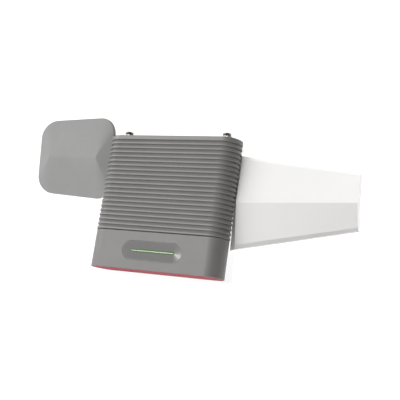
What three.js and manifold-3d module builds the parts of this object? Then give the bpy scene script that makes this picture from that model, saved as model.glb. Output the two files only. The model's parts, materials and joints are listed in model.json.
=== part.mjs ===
// Cellular signal booster set, laid out on one flat plane:
//   the amplifier in the middle, the indoor panel antenna on its left on a tilting bracket,
//   and the outdoor directional antenna, in its tapered weather cover, on its right.
//
// Units are millimetres. X runs along the amplifier's width, Y towards its cable ports and
// Z out of its front. The origin is the centre of the amplifier's flat back at Z = 0, and
// all three units rest on the plane Z = 0.

import * as THREE from 'three';
import { mergeVertices } from 'three/addons/utils/BufferGeometryUtils.js';
import { ConvexGeometry } from 'three/addons/geometries/ConvexGeometry.js';
import Module from 'manifold-3d';

const wasm = await Module();
wasm.setup();

// ---------------------------------------------------------------- driving dimensions

const GAP = 0.3;                 // clearance between pieces that touch
const THROUGH = 2;               // how far a cutter reaches past the surface it cuts

// Amplifier casing: a stadium section with flat front and back and fully round sides
const HEIGHT = 150;
const WIDTH = 159.6;             // over the ribs
const DEPTH = 34.4;              // over the ribs
const BACK_STANDOFF = 0.3;       // the ribs stand this far off the wall
const BAND_HEIGHT = 41.4;        // smooth lower band
const SEAM = 0.4;                // joint between the band and the ribbed sleeve
const RIB_COUNT = 21;
const RIB_DEPTH = 1.7;
const RIB_LIP = { start: 0.14, end: 0.36 };   // the blunt lip, as shares of a rib's height
const RIB_PROUD = 0.5;           // how far the ribs stand out beyond the smooth band
const CASE_WALL = 2.3;
const SIDE_STEPS = 8;            // facets on each round side
const CHAMFER = 0.5;             // on the rims of the band and the top cap
const TOP = HEIGHT / 2;
const BOTTOM = -HEIGHT / 2;
const SEAM_Y = BOTTOM + BAND_HEIGHT;
const RIB_RADIUS = DEPTH / 2;
const BAND_RADIUS = RIB_RADIUS - RIB_PROUD;
const CAVITY_RADIUS = BAND_RADIUS - CASE_WALL;
const FLAT_HALF = WIDTH / 2 - RIB_RADIUS;
const MID_Z = BACK_STANDOFF + RIB_RADIUS;

// End caps
const CAP_THICKNESS = 2.7;
const TOP_CAP_RADIUS = 15.2;
const TOP_CAP_PROUD = 0.8;
const BOTTOM_CAP_RADIUS = 15.4;
const BOTTOM_CAP_INSET = 0.1;
const HOOK = { x: 50, width: 8, thickness: 1.6, length: 6 };

// Rear panel with its keyholes
const REAR = { width: 118, height: 138, thickness: 2.8, corner: 4 };
const KEYHOLE = { x: 42, y: 46, entry: 4.2, slot: 2.2, travel: 9 };
const REAR_SCREWS = [[-53, 62], [53, 62], [-53, -62], [53, -62]];
const REAR_SCREW = { head: 3, headHeight: 1.3, shank: 1.3, tip: 6.1, sink: 3.4, hole: 1.7 };

// Status recess in the band
const PILL = { width: 72.4, height: 21.4, depth: 2.0 };
const BEZEL = { back: 30.3, front: 33.9, flangeFront: 31.5, flangeMargin: 5, rim: 1.2 };
const LIGHT = { length: 51, width: 2, back: 30.0, front: 32.2 };
const LAMP = { count: 5, pitch: 10, width: 3.2, height: 2.6, carrier: 46, carrierHeight: 2.2 };
const STATUS_Y = BOTTOM + BAND_HEIGHT / 2;

// Inside the amplifier
const CHASSIS = { x: 64, y: 66, back: 3.4, front: 6.4, pedestal: 10.2 };
const PEDESTAL = { inner: 14, outer: 50, low: -20, high: 44 };
const BOARD = { x: 66, low: -60, high: 62, back: 12, front: 13.6 };
const BOARD_SCREW = { x: 58, low: -52, high: 52, standoff: 3.2, thread: 1.3, hole: 1.5 };
const ON_BOARD = BOARD.front + GAP;
const CAN = { inner: 8, outer: 56, low: -10, high: 48, height: 5.5, wall: 0.8 };
const POWER_CAN = { left: -50, right: -20, low: -46, high: -20 };
const CHIP = { x: 32, y: 19, size: 12, height: 1.6 };
const THERMAL_PAD = { y: 12, width: 30, height: 50 };
const FILTER = { y: 17, pitch: 18, width: 8, height: 14, rise: 4, base: 0.8 };
const CAPACITOR = { x: 32, y: -36, radius: 6, height: 12 };
const SPREADER = { x: 58, lift: 1.5, thickness: 1.6 };
const LED_BOARD = { x: 33, half: 6, back: 27.5, front: 28.5 };
const LINK_HEADER = { width: 12, height: 4 };

// Threaded coaxial ports, 3/8-32
const PORT_X = 61;
const PORT = {
  radius: 4.75, height: 7.8, bore: 2.9, flange: 5.4, nut: 6.4, washer: 7, contact: 0.7,
  flangeThickness: 2.8, nutThickness: 2.8, washerThickness: 0.8, tailFoot: 57, tailHalf: 3,
};
const WELL_PORT = { flange: 6.2, flangeThickness: 1.2 };   // antenna ports, facing the back

// Power inlet between the ports
const JACK = { half: 6, foot: 58, front: 24.2, bore: 3.2, pin: 1, depth: 9.5 };

// Indoor panel antenna
const PANEL = {
  width: 102.2, height: 91.6, cornerRight: 19, cornerLeft: 22, taper: 0.06, ridgeInset: 18.6,
  ridge: 6.2, skirt: 2.7, back: 8, backInset: 2.5, wall: 2, x: -131.3, y: 52.2, z: 16.2, tilt: 9,
};
const REFLECTOR = { width: 78, height: 66, back: -1, front: -0.2 };
const PATCH = { width: 46, height: 24, back: 1.4, front: 2 };
const SPACER = { x: 18, y: 8, pad: 2.4, arm: 2, back: 0.1, armFront: 0.7, front: 1.1 };
const HINGE_HOUSING = { width: 38, height: 17, pocketWidth: 28.6, pocketHeight: 11 };
const WELL = { radius: 7, wall: 1.5 };
const PIVOT = {
  depth: 6, pin: 1.2, bore: 1.5, length: 37, ear: 2.8, earX: 9, earThickness: 3, earHalf: 7,
};
const CLIP = { x: 11.4, radius: 2.5, thickness: 0.8 };
const PANEL_JACK = { x: 25, y: -28, tip: -7.6, flange: -1, nutBack: -5.4, nutFront: -3.1 };
const PANEL_SCREWS = [[-37, 0], [37, 0]];
const PANEL_SCREW = {
  head: 2.2, headHeight: 0.6, shank: 1, tip: -2, boss: 2.6, bossTop: 3.5, bore: 1.3, boreEnd: -1.5,
};
const BRACKET = {
  width: 62, height: 44, corner: 6, thickness: 2.4, holeX: 24, holeY: 15, hole: 2.2,
};

// Outdoor antenna
const DONOR = {
  length: 129.2, wide: 102.3, narrow: 59.1, wall: 2, rim: 5.5, shoulder: 8, ridge: 14.5,
  bevelWide: 4, bevelNarrow: 2.6, ridgeShift: -3, plate: 2.2, toe: 7, toeHeight: 1.5,
  x: 80.1, y: 11, turn: 2.9,
};
const DONOR_JACK_X = 16;
const DONOR_SCREW_X = [12, 116];
const DONOR_SCREW = { inset: 9, head: 2.6, headHeight: 0.9, shank: 1.1, tip: 5, boss: 3, bore: 1.4 };
const DONOR_WELL = { radius: 7.5, wall: 1.5, top: 7.7 };
const DONOR_PORT = { tip: 0.6, flange: 9.5 };
const MAST_HOLE = { x: [44, 84], y: 20, boss: 4.8, bore: 2.1, top: 4.6 };
const DONOR_REST = { places: [[38, 28], [102, 14]], radius: 2.5, top: 4.7 };
const ANTENNA_BOARD = { near: 32, far: 108, nearHalf: 33, farHalf: 20, back: 5, front: 6.6 };
const DIPOLE = {
  count: 7, width: 3.2, firstX: 36, firstHalf: 30, spacing: 0.52, shrink: 0.86,
  thickness: 0.3, strip: 3,
};
const FEED = { radius: 1, length: 80, x: 66, z: 3.6 };
const VENT = { x: 121, radius: 3 };

// ---------------------------------------------------------------- materials

function finish(color, roughness, metalness) {
  return () => new THREE.MeshStandardMaterial({ color, roughness, metalness });
}

const greyPlastic = finish(0x949390, 0.55, 0);
const panelGrey = finish(0xa0a09e, 0.5, 0);
const offWhite = finish(0xe6e4de, 0.5, 0);
const radomeWhite = finish(0xf0efec, 0.45, 0);
const redPlastic = finish(0xa85a5f, 0.5, 0);
const greenLight = finish(0x7fb860, 0.3, 0);
const blackPlastic = finish(0x222222, 0.6, 0);
const nickel = finish(0xb4b2ac, 0.3, 1);
const steel = finish(0x9a9a9a, 0.4, 1);
const aluminium = finish(0xbfc1c2, 0.45, 1);
const tinPlate = finish(0xcdcdc8, 0.35, 1);
const copper = finish(0xb87348, 0.4, 1);
const circuitBoard = finish(0x1f6b3a, 0.5, 0);
const ceramic = finish(0xd9d3c4, 0.6, 0);
const thermalPad = finish(0x8f9db0, 0.9, 0);
const whitePlastic = finish(0xf4f3ee, 0.5, 0);

// ---------------------------------------------------------------- solids

function solid(geometry) {
  const bare = geometry.clone();
  bare.deleteAttribute('normal');
  bare.deleteAttribute('uv');
  const merged = mergeVertices(bare, 1e-4);
  return new wasm.Manifold(new wasm.Mesh({
    numProp: 3,
    vertProperties: Float32Array.from(merged.attributes.position.array),
    triVerts: Uint32Array.from(merged.index.array),
  }));
}

function toGeometry(body) {
  const mesh = body.getMesh();
  const geometry = new THREE.BufferGeometry();
  geometry.setAttribute('position', new THREE.BufferAttribute(mesh.vertProperties, 3));
  geometry.setIndex(new THREE.BufferAttribute(mesh.triVerts, 1));
  geometry.computeVertexNormals();
  return geometry;
}

const join = (bodies) => bodies.reduce((whole, body) => whole.add(body));
const cut = (body, cutters) => cutters.reduce((rest, cutter) => rest.subtract(cutter), body);

// A block between two corners
function block(x0, x1, y0, y1, z0, z1) {
  const geometry = new THREE.BoxGeometry(x1 - x0, y1 - y0, z1 - z0);
  return solid(geometry.translate((x0 + x1) / 2, (y0 + y1) / 2, (z0 + z1) / 2));
}

// A block centred on x and y
const pad = (x, y, width, height, z0, z1) =>
  block(x - width / 2, x + width / 2, y - height / 2, y + height / 2, z0, z1);

// A round or polygonal rod along Z
function post(x, y, radius, z0, z1, sides = 12) {
  const geometry = new THREE.CylinderGeometry(radius, radius, z1 - z0, sides);
  return solid(geometry.rotateX(Math.PI / 2).translate(x, y, (z0 + z1) / 2));
}

const tube = (x, y, radius, bore, z0, z1, sides = 12) =>
  post(x, y, radius, z0, z1, sides).subtract(post(x, y, bore, z0 - 1, z1 + 1, 12));

// A screw along Z, with its head at z0 and its tip at z1
function screw(x, y, z0, z1, head, headHeight, shank) {
  const turn = Math.sign(z1 - z0);
  const neck = z0 + turn * headHeight;
  const parts = [[head, z0, neck], [shank, neck - turn * 0.1, z1]];
  return join(parts.map(([radius, a, b]) => post(x, y, radius, Math.min(a, b), Math.max(a, b), 8)));
}

// A skin through rings of points, closed flat at both ends
function loft(rings) {
  const count = rings[0].length;
  const points = rings.flat();
  const first = points.length;
  for (const ring of [rings[0], rings[rings.length - 1]]) {
    const centre = new THREE.Vector3();
    ring.forEach((point) => centre.add(point));
    points.push(centre.divideScalar(count));
  }
  const faces = [];
  for (let ring = 0; ring < rings.length - 1; ring += 1) {
    for (let i = 0; i < count; i += 1) {
      const a = ring * count + i;
      const b = ring * count + ((i + 1) % count);
      faces.push(a, b, b + count, a, b + count, a + count);
    }
  }
  const last = (rings.length - 1) * count;
  for (let i = 0; i < count; i += 1) {
    const next = (i + 1) % count;
    faces.push(first, next, i, first + 1, last + i, last + next);
  }
  const geometry = new THREE.BufferGeometry().setFromPoints(points);
  geometry.setIndex(faces);
  return solid(geometry);
}

// The amplifier's section at one height
function stadiumRing(radius, y) {
  const ring = [];
  for (const side of [1, -1]) {
    for (let i = 0; i <= SIDE_STEPS; i += 1) {
      const angle = (side * Math.PI) / 2 - (Math.PI * i) / SIDE_STEPS;
      const x = side * FLAT_HALF + radius * Math.cos(angle);
      ring.push(new THREE.Vector3(x, y, MID_Z + radius * Math.sin(angle)));
    }
  }
  return ring;
}

const stadium = (radius, y0, y1) => loft([stadiumRing(radius, y0), stadiumRing(radius, y1)]);

// A slot outline with round ends, extruded along Z
function pill(width, height, z0, z1, y) {
  const reach = (width - height) / 2;
  const shape = new THREE.Shape();
  shape.absarc(reach, y, height / 2, -Math.PI / 2, Math.PI / 2);
  shape.absarc(-reach, y, height / 2, Math.PI / 2, Math.PI * 1.5);
  const options = { depth: z1 - z0, bevelEnabled: false, curveSegments: 8 };
  return solid(new THREE.ExtrudeGeometry(shape, options).translate(0, 0, z0));
}

function roundedPlate(width, height, corner, z0, z1) {
  const shape = new THREE.Shape();
  const x = width / 2 - corner;
  const y = height / 2 - corner;
  shape.absarc(x, -y, corner, -Math.PI / 2, 0);
  shape.absarc(x, y, corner, 0, Math.PI / 2);
  shape.absarc(-x, y, corner, Math.PI / 2, Math.PI);
  shape.absarc(-x, -y, corner, Math.PI, Math.PI * 1.5);
  const options = { depth: z1 - z0, bevelEnabled: false, curveSegments: 4 };
  return solid(new THREE.ExtrudeGeometry(shape, options).translate(0, 0, z0));
}

const hull = (points) => solid(new ConvexGeometry(points));

// ---------------------------------------------------------------- scene graph

const group = new THREE.Group();

const panelUnit = new THREE.Group();
panelUnit.position.set(PANEL.x, PANEL.y, PANEL.z);
panelUnit.rotation.x = THREE.MathUtils.degToRad(PANEL.tilt);
group.add(panelUnit);

const pivotY = PANEL.y + PIVOT.depth * Math.sin(panelUnit.rotation.x);
const pivotZ = PANEL.z - PIVOT.depth * Math.cos(panelUnit.rotation.x);

const bracketUnit = new THREE.Group();
bracketUnit.position.set(PANEL.x, pivotY, 0);
group.add(bracketUnit);

const donorUnit = new THREE.Group();
donorUnit.position.set(DONOR.x, DONOR.y, 0);
donorUnit.rotation.z = THREE.MathUtils.degToRad(DONOR.turn);
group.add(donorUnit);

function add(name, body, material, parent = group) {
  const mesh = new THREE.Mesh(toGeometry(body), material());
  mesh.name = name;
  parent.add(mesh);
  return mesh;
}

// Like screws, numbered from 1
function addScrews(name, places, make, parent = group) {
  places.forEach(([x, y], i) => add(`${name}_${i + 1}`, make(x, y), steel, parent));
}

// ---------------------------------------------------------------- amplifier casing

// Each rib has a blunt lip near its foot and a long fall into the groove above it
function ribbedSleeve() {
  const foot = SEAM_Y + SEAM;
  const pitch = (TOP - foot) / RIB_COUNT;
  const rings = [];
  for (let rib = 0; rib < RIB_COUNT; rib += 1) {
    const y = foot + rib * pitch;
    const lipEnd = rib === RIB_COUNT - 1 ? 1 : RIB_LIP.end;
    rings.push(stadiumRing(RIB_RADIUS - RIB_DEPTH, y));
    rings.push(stadiumRing(RIB_RADIUS, y + RIB_LIP.start * pitch));
    rings.push(stadiumRing(RIB_RADIUS, y + lipEnd * pitch));
  }
  return cut(loft(rings), [
    stadium(CAVITY_RADIUS, foot - THROUGH, TOP + THROUGH),
    stadium(TOP_CAP_RADIUS + GAP, TOP - CAP_THICKNESS - GAP, TOP + THROUGH),
    rearWindow(),
  ]);
}

function lowerBand() {
  const shell = loft([
    stadiumRing(BAND_RADIUS - CHAMFER, BOTTOM),
    stadiumRing(BAND_RADIUS, BOTTOM + CHAMFER),
    stadiumRing(BAND_RADIUS, SEAM_Y - CHAMFER),
    stadiumRing(BAND_RADIUS - CHAMFER, SEAM_Y),
  ]);
  const floor = BOTTOM + BOTTOM_CAP_INSET + CAP_THICKNESS + GAP;
  return cut(shell, [
    stadium(CAVITY_RADIUS, BOTTOM - THROUGH, SEAM_Y + THROUGH),
    stadium(BOTTOM_CAP_RADIUS + GAP, BOTTOM - THROUGH, floor),
    pill(PILL.width, PILL.height, MID_Z, MID_Z + DEPTH, STATUS_Y),
    rearWindow(),
  ]);
}

function rearWindow() {
  const x = REAR.width / 2 + GAP;
  const y = REAR.height / 2 + GAP;
  return block(-x, x, -y, y, -THROUGH, MID_Z - CAVITY_RADIUS + 1);
}

function forEachKeyhole(make) {
  const bodies = [];
  for (const x of [-KEYHOLE.x, KEYHOLE.x]) {
    for (const y of [-KEYHOLE.y, KEYHOLE.y]) bodies.push(make(x, y));
  }
  return bodies;
}

function rearPanel() {
  const plate = roundedPlate(REAR.width, REAR.height, REAR.corner, 0, REAR.thickness);
  const keyholes = forEachKeyhole((x, y) => join([
    post(x, y, KEYHOLE.entry, -THROUGH, REAR.thickness + THROUGH, 16),
    pad(x, y + KEYHOLE.travel / 2, 2 * KEYHOLE.slot, KEYHOLE.travel,
      -THROUGH, REAR.thickness + THROUGH),
    post(x, y + KEYHOLE.travel, KEYHOLE.slot, -THROUGH, REAR.thickness + THROUGH, 12),
  ]));
  const { sink, hole } = REAR_SCREW;
  const sinkDepth = 2 * GAP + REAR_SCREW.headHeight;
  const sinks = REAR_SCREWS.map(([x, y]) => post(x, y, sink, -THROUGH, sinkDepth));
  const holes = REAR_SCREWS.map(([x, y]) => post(x, y, hole, 0, REAR.thickness + 1));
  return cut(plate, [...keyholes, ...sinks, ...holes]);
}

function hooks(y0, y1) {
  const bodies = [];
  const front = MID_Z + CAVITY_RADIUS - GAP;
  const rear = CHASSIS.front + 1;
  for (const x of [-HOOK.x, HOOK.x]) {
    for (const z of [front - HOOK.thickness, rear]) {
      bodies.push(block(x - HOOK.width / 2, x + HOOK.width / 2, y0, y1, z, z + HOOK.thickness));
    }
  }
  return bodies;
}

function topCap() {
  const high = TOP + TOP_CAP_PROUD;
  const low = TOP - CAP_THICKNESS;
  const plate = loft([
    stadiumRing(TOP_CAP_RADIUS, low),
    stadiumRing(TOP_CAP_RADIUS, high - CHAMFER),
    stadiumRing(TOP_CAP_RADIUS - CHAMFER, high),
  ]);
  const ports = [-PORT_X, PORT_X].map((x) => portPost(x, PORT.radius + GAP, low - 1, high + 1));
  return cut(join([plate, ...hooks(low - HOOK.length, low + 0.1)]), [
    ...ports,
    block(-JACK.half - GAP, JACK.half + GAP, low - 1, high + 1, ON_BOARD, JACK.front + GAP),
  ]);
}

function bottomCap() {
  const low = BOTTOM + BOTTOM_CAP_INSET;
  const plate = stadium(BOTTOM_CAP_RADIUS, low, low + CAP_THICKNESS);
  const top = low + CAP_THICKNESS;
  return join([plate, ...hooks(top - 0.1, top + HOOK.length)]);
}

add('ribbed_sleeve', ribbedSleeve(), greyPlastic);
add('lower_band', lowerBand(), greyPlastic);
add('rear_panel', rearPanel(), greyPlastic);
add('top_cap', topCap(), redPlastic);
add('bottom_cap', bottomCap(), redPlastic);
addScrews('rear_screw', REAR_SCREWS, (x, y) =>
  screw(x, y, GAP, REAR_SCREW.tip, REAR_SCREW.head, REAR_SCREW.headHeight, REAR_SCREW.shank));

// ---------------------------------------------------------------- status recess

function statusBezel() {
  const plate = pill(PILL.width - 2 * GAP, PILL.height - 2 * GAP, BEZEL.back, BEZEL.front, STATUS_Y);
  const margin = 2 * BEZEL.flangeMargin;
  const flange = pill(
    PILL.width + margin, PILL.height + margin, BEZEL.back, BEZEL.flangeFront, STATUS_Y);
  const rim = PILL.height / 2 - BEZEL.rim;
  const steps = 6;
  const reach = (PILL.width - PILL.height) / 2;
  const valley = [];
  for (const side of [1, -1]) {
    valley.push(new THREE.Vector3(side * LIGHT.length / 2, STATUS_Y, BEZEL.front - PILL.depth));
    for (let i = 0; i <= steps; i += 1) {
      const angle = (Math.PI * i) / steps - Math.PI / 2;
      const x = side * (reach + rim * Math.cos(angle));
      const y = STATUS_Y + rim * Math.sin(angle);
      valley.push(new THREE.Vector3(x, y, BEZEL.front));
      valley.push(new THREE.Vector3(x, y, BEZEL.front + 1));
    }
  }
  const slot = pill(LIGHT.length + 2 * GAP, LIGHT.width + 2 * GAP,
    BEZEL.back - THROUGH, BEZEL.front + THROUGH, STATUS_Y);
  return cut(join([plate, flange]), [hull(valley), slot]);
}

// Five lamps on one thin carrier
function ledStrip() {
  const low = LED_BOARD.front + GAP;
  const bodies = [pad(0, STATUS_Y, LAMP.carrier, LAMP.carrierHeight, low, low + 0.3)];
  for (let i = 0; i < LAMP.count; i += 1) {
    const x = (i - (LAMP.count - 1) / 2) * LAMP.pitch;
    bodies.push(pad(x, STATUS_Y, LAMP.width, LAMP.height, low, LIGHT.back - GAP));
  }
  return join(bodies);
}

add('status_bezel', statusBezel(), greyPlastic);
add('light_bar', pill(LIGHT.length, LIGHT.width, LIGHT.back, LIGHT.front, STATUS_Y), greenLight);
add('led_board', pad(0, STATUS_Y, 2 * LED_BOARD.x, 2 * LED_BOARD.half,
  LED_BOARD.back, LED_BOARD.front), circuitBoard);
add('led_strip', ledStrip(), whitePlastic);
add('led_link_header', pad(0, STATUS_Y, LINK_HEADER.width, LINK_HEADER.height,
  ON_BOARD, LED_BOARD.back - GAP), blackPlastic);

// ---------------------------------------------------------------- electronics

function chassisPlate() {
  const base = block(-CHASSIS.x, CHASSIS.x, -CHASSIS.y, CHASSIS.y, CHASSIS.back, CHASSIS.front);
  const pedestals = [-1, 1].map((side) => {
    const middle = (side * (PEDESTAL.inner + PEDESTAL.outer)) / 2;
    const width = PEDESTAL.outer - PEDESTAL.inner;
    const y = (PEDESTAL.low + PEDESTAL.high) / 2;
    const height = PEDESTAL.high - PEDESTAL.low;
    return pad(middle, y, width, height, CHASSIS.front - 0.1, CHASSIS.pedestal);
  });
  const standoffs = forEachBoardScrew((x, y) =>
    post(x, y, BOARD_SCREW.standoff, CHASSIS.front - 0.1, BOARD.back - GAP));
  const reliefs = forEachKeyhole((x, y) => pad(x, y + KEYHOLE.travel / 2,
    3 * KEYHOLE.entry, KEYHOLE.travel + 3 * KEYHOLE.entry, CHASSIS.back - 1, CHASSIS.front + THROUGH));
  const holes = REAR_SCREWS.map(([x, y]) =>
    post(x, y, REAR_SCREW.shank + GAP, CHASSIS.back - 1, CHASSIS.front + 1, 8));
  const threads = forEachBoardScrew((x, y) =>
    post(x, y, BOARD_SCREW.thread, CHASSIS.front, BOARD.back, 8));
  return cut(join([base, ...pedestals, ...standoffs]), [...reliefs, ...holes, ...threads]);
}

function forEachBoardScrew(make) {
  const bodies = [];
  for (const x of [-BOARD_SCREW.x, BOARD_SCREW.x]) {
    for (const y of [BOARD_SCREW.low, BOARD_SCREW.high]) bodies.push(make(x, y));
  }
  return bodies;
}

function mainBoard() {
  const board = block(-BOARD.x, BOARD.x, BOARD.low, BOARD.high, BOARD.back, BOARD.front);
  return cut(board, forEachBoardScrew((x, y) =>
    post(x, y, BOARD_SCREW.hole, BOARD.back - 1, BOARD.front + 1, 8)));
}

// A pressed can, open towards the board
function shieldCan(x0, x1, y0, y1) {
  const top = ON_BOARD + CAN.height;
  const inside = block(x0 + CAN.wall, x1 - CAN.wall, y0 + CAN.wall, y1 - CAN.wall,
    ON_BOARD - 1, top - CAN.wall);
  return block(x0, x1, y0, y1, ON_BOARD, top).subtract(inside);
}

// Three ceramic resonator blocks on one base
function bandFilter() {
  const { y, pitch, width, height, rise } = FILTER;
  const base = pad(0, y, width - 1, 2 * pitch + height - 2, ON_BOARD, ON_BOARD + FILTER.base);
  const blocks = [y - pitch, y, y + pitch].map((middle) =>
    pad(0, middle, width, height, ON_BOARD, ON_BOARD + rise));
  return join([base, ...blocks]);
}

add('chassis_plate', chassisPlate(), aluminium);
add('main_board', mainBoard(), circuitBoard);
add('uplink_shield_can', shieldCan(-CAN.outer, -CAN.inner, CAN.low, CAN.high), tinPlate);
add('downlink_shield_can', shieldCan(CAN.inner, CAN.outer, CAN.low, CAN.high), tinPlate);
add('power_shield_can',
  shieldCan(POWER_CAN.left, POWER_CAN.right, POWER_CAN.low, POWER_CAN.high), tinPlate);
for (const [name, x] of [['uplink', -CHIP.x], ['downlink', CHIP.x]]) {
  add(`${name}_amplifier`, pad(x, CHIP.y, CHIP.size, CHIP.size, ON_BOARD, ON_BOARD + CHIP.height),
    blackPlastic);
  add(`${name}_thermal_pad`, pad(x, THERMAL_PAD.y, THERMAL_PAD.width, THERMAL_PAD.height,
    CHASSIS.pedestal + GAP, BOARD.back - GAP), thermalPad);
}
add('band_filter', bandFilter(), ceramic);
add('filter_capacitor', post(CAPACITOR.x, CAPACITOR.y, CAPACITOR.radius,
  ON_BOARD, ON_BOARD + CAPACITOR.height, 12), blackPlastic);

const spreaderBack = ON_BOARD + CAN.height + SPREADER.lift;
add('front_heat_spreader', block(-SPREADER.x, SPREADER.x, CAN.low, CAN.high,
  spreaderBack, spreaderBack + SPREADER.thickness), aluminium);

// ---------------------------------------------------------------- cable ports and power inlet

// A rod along Y on a port's centre line
function portPost(x, radius, y0, y1, sides = 16) {
  const geometry = new THREE.CylinderGeometry(radius, radius, y1 - y0, sides);
  return solid(geometry.translate(x, (y0 + y1) / 2, MID_Z));
}

const portTube = (x, radius, bore, y0, y1, sides = 16) =>
  portPost(x, radius, y0, y1, sides).subtract(portPost(x, bore, y0 - 1, y1 + 1));

const portBase = TOP + TOP_CAP_PROUD;
const portTip = portBase + PORT.height;
const flangeTop = TOP - CAP_THICKNESS - GAP;

function portBody(x) {
  const flangeFoot = flangeTop - PORT.flangeThickness;
  const tail = block(x - PORT.tailHalf, x + PORT.tailHalf, PORT.tailFoot, flangeTop - 2,
    ON_BOARD, MID_Z + 1);
  const flange = portPost(x, PORT.flange, flangeFoot, flangeTop, 6);
  const barrel = portPost(x, PORT.radius, flangeFoot, portTip);
  const bore = portPost(x, PORT.bore, portTip - PORT.height - GAP, portTip + 1);
  return join([barrel, flange, tail]).subtract(bore);
}

const washerFoot = portBase + GAP;
const nutFoot = washerFoot + PORT.washerThickness + GAP;
for (const [name, x] of [['outside', -PORT_X], ['inside', PORT_X]]) {
  add(`${name}_port_body`, portBody(x), nickel);
  add(`${name}_port_washer`, portTube(x, PORT.washer, PORT.radius + GAP,
    washerFoot, washerFoot + PORT.washerThickness), nickel);
  add(`${name}_port_nut`, portTube(x, PORT.nut, PORT.radius + GAP,
    nutFoot, nutFoot + PORT.nutThickness, 6), nickel);
  add(`${name}_port_insulator`, portTube(x, PORT.bore - GAP, PORT.contact,
    portTip - PORT.height + 0.1, portTip - 1, 12), whitePlastic);
}

function powerJack() {
  const { half, foot, front, depth } = JACK;
  const z = (ON_BOARD + GAP + front) / 2;
  const body = block(-half, half, foot, portBase - GAP, ON_BOARD + GAP, front);
  const bore = new THREE.CylinderGeometry(JACK.bore, JACK.bore, 2 * depth, 12);
  const pin = new THREE.CylinderGeometry(JACK.pin, JACK.pin, depth, 8);
  const pinned = body.subtract(solid(bore.translate(0, portBase, z)));
  return pinned.add(solid(pin.translate(0, portBase - depth / 2 - 1.5, z)));
}

add('power_jack', powerJack(), blackPlastic);

// ---------------------------------------------------------------- indoor panel antenna

// The outline of the antenna, taller towards its right, drawn in from the edge by inset
function panelRing(inset, z) {
  const steps = 5;
  const ring = [];
  [[1, -1], [1, 1], [-1, 1], [-1, -1]].forEach(([side, end], corner) => {
    const round = side > 0 ? PANEL.cornerRight : PANEL.cornerLeft;
    for (let i = 0; i <= steps; i += 1) {
      const angle = (Math.PI / 2) * (corner - 1 + i / steps);
      const px = side * (PANEL.width / 2 - round) + (round - inset) * Math.cos(angle);
      const py = end * (PANEL.height / 2 - round) + (round - inset) * Math.sin(angle);
      ring.push(new THREE.Vector3(px, py * (1 + (PANEL.taper * px) / (PANEL.width / 2)), z));
    }
  });
  return ring;
}

function panelRidge(shorten, z) {
  const x = PANEL.width / 2 - PANEL.ridgeInset - shorten;
  return [new THREE.Vector3(-x, 0, z), new THREE.Vector3(x, 0, z)];
}

function panelFrontCover() {
  const wall = PANEL.wall;
  const outside = hull([
    ...panelRing(0, -PANEL.skirt), ...panelRing(0, 0), ...panelRidge(0, PANEL.ridge)]);
  const inside = hull([
    ...panelRing(wall, -PANEL.skirt - THROUGH), ...panelRing(wall, -0.8),
    ...panelRidge(1, PANEL.ridge - wall + 0.2)]);
  const { boss, bossTop, bore, boreEnd } = PANEL_SCREW;
  const foot = wall - PANEL.back + 0.1;
  const bosses = PANEL_SCREWS.map(([x, y]) => post(x, y, boss, foot, bossTop, 8));
  const holes = PANEL_SCREWS.map(([x, y]) => post(x, y, bore, foot - 1, boreEnd, 8));
  return cut(join([outside.subtract(inside), ...bosses]), holes);
}

function panelBackCover() {
  const wall = PANEL.wall;
  const high = -PANEL.skirt - GAP;
  const outside = hull([
    ...panelRing(0, high), ...panelRing(0, high - 1.8), ...panelRing(PANEL.backInset, -PANEL.back)]);
  const inside = hull([
    ...panelRing(wall, high + THROUGH), ...panelRing(wall, high - 1.5),
    ...panelRing(wall + 1.5, wall - PANEL.back)]);
  const { x, y } = PANEL_JACK;
  const inner = REFLECTOR.back - GAP;
  const { width, height, pocketWidth, pocketHeight } = HINGE_HOUSING;
  const housing = pad(0, 0, width, height, -PANEL.back, inner);
  const well = post(x, y, WELL.radius + WELL.wall, -PANEL.back, inner, 16);
  const bore = new THREE.CylinderGeometry(PIVOT.bore, PIVOT.bore, PIVOT.length + 2 * GAP, 12);
  const pin = bore.rotateZ(Math.PI / 2);
  return cut(join([outside.subtract(inside), housing, well]), [
    pad(0, 0, pocketWidth, pocketHeight, -PANEL.back - THROUGH, inner - 1.6),
    post(x, y, WELL.radius, -PANEL.back - THROUGH, inner - WELL.wall, 16),
    post(x, y, PORT.radius + GAP, -PANEL.back, 0, 16),
    solid(pin.translate(0, 0, -PIVOT.depth)),
    ...PANEL_SCREWS.map((place) =>
      post(...place, PANEL_SCREW.head + GAP, -PANEL.back - THROUGH, 0.9 - PANEL.back, 8)),
    ...PANEL_SCREWS.map((place) => post(...place, PANEL_SCREW.bore + 0.1, -PANEL.back, -5, 8)),
  ]);
}

function panelReflector() {
  const { width, height, back, front } = REFLECTOR;
  const plate = pad(0, 0, width, height, back, front);
  const holes = PANEL_SCREWS.map(([x, y]) => post(x, y, PANEL_SCREW.boss + 0.4, back - 1, 1, 8));
  const portHole = post(PANEL_JACK.x, PANEL_JACK.y, PORT.nut + 0.2, back - 1, 1);
  return cut(plate, [portHole, ...holes]);
}

// A cable port facing the back, in a well. The flange is inside, at z and above.
function wellPort(x, y, tip, z) {
  const { flange, flangeThickness } = WELL_PORT;
  const barrel = post(x, y, PORT.radius, tip, z + 1, 16);
  const body = barrel.add(post(x, y, flange, z, z + flangeThickness, 6));
  return body.subtract(post(x, y, PORT.bore, tip - 1, z - 1, 12));
}

// A frame with four pads that holds the patch off the reflector
function patchSpacer() {
  const { x, y, arm, back, armFront, front } = SPACER;
  const bodies = [pad(0, 0, 2 * x, arm, back, armFront)];
  for (const side of [-1, 1]) {
    bodies.push(pad(side * x, 0, arm, 2 * y, back, armFront));
    for (const end of [-1, 1]) bodies.push(post(side * x, end * y, SPACER.pad, back, front, 8));
  }
  return join(bodies);
}

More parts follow.
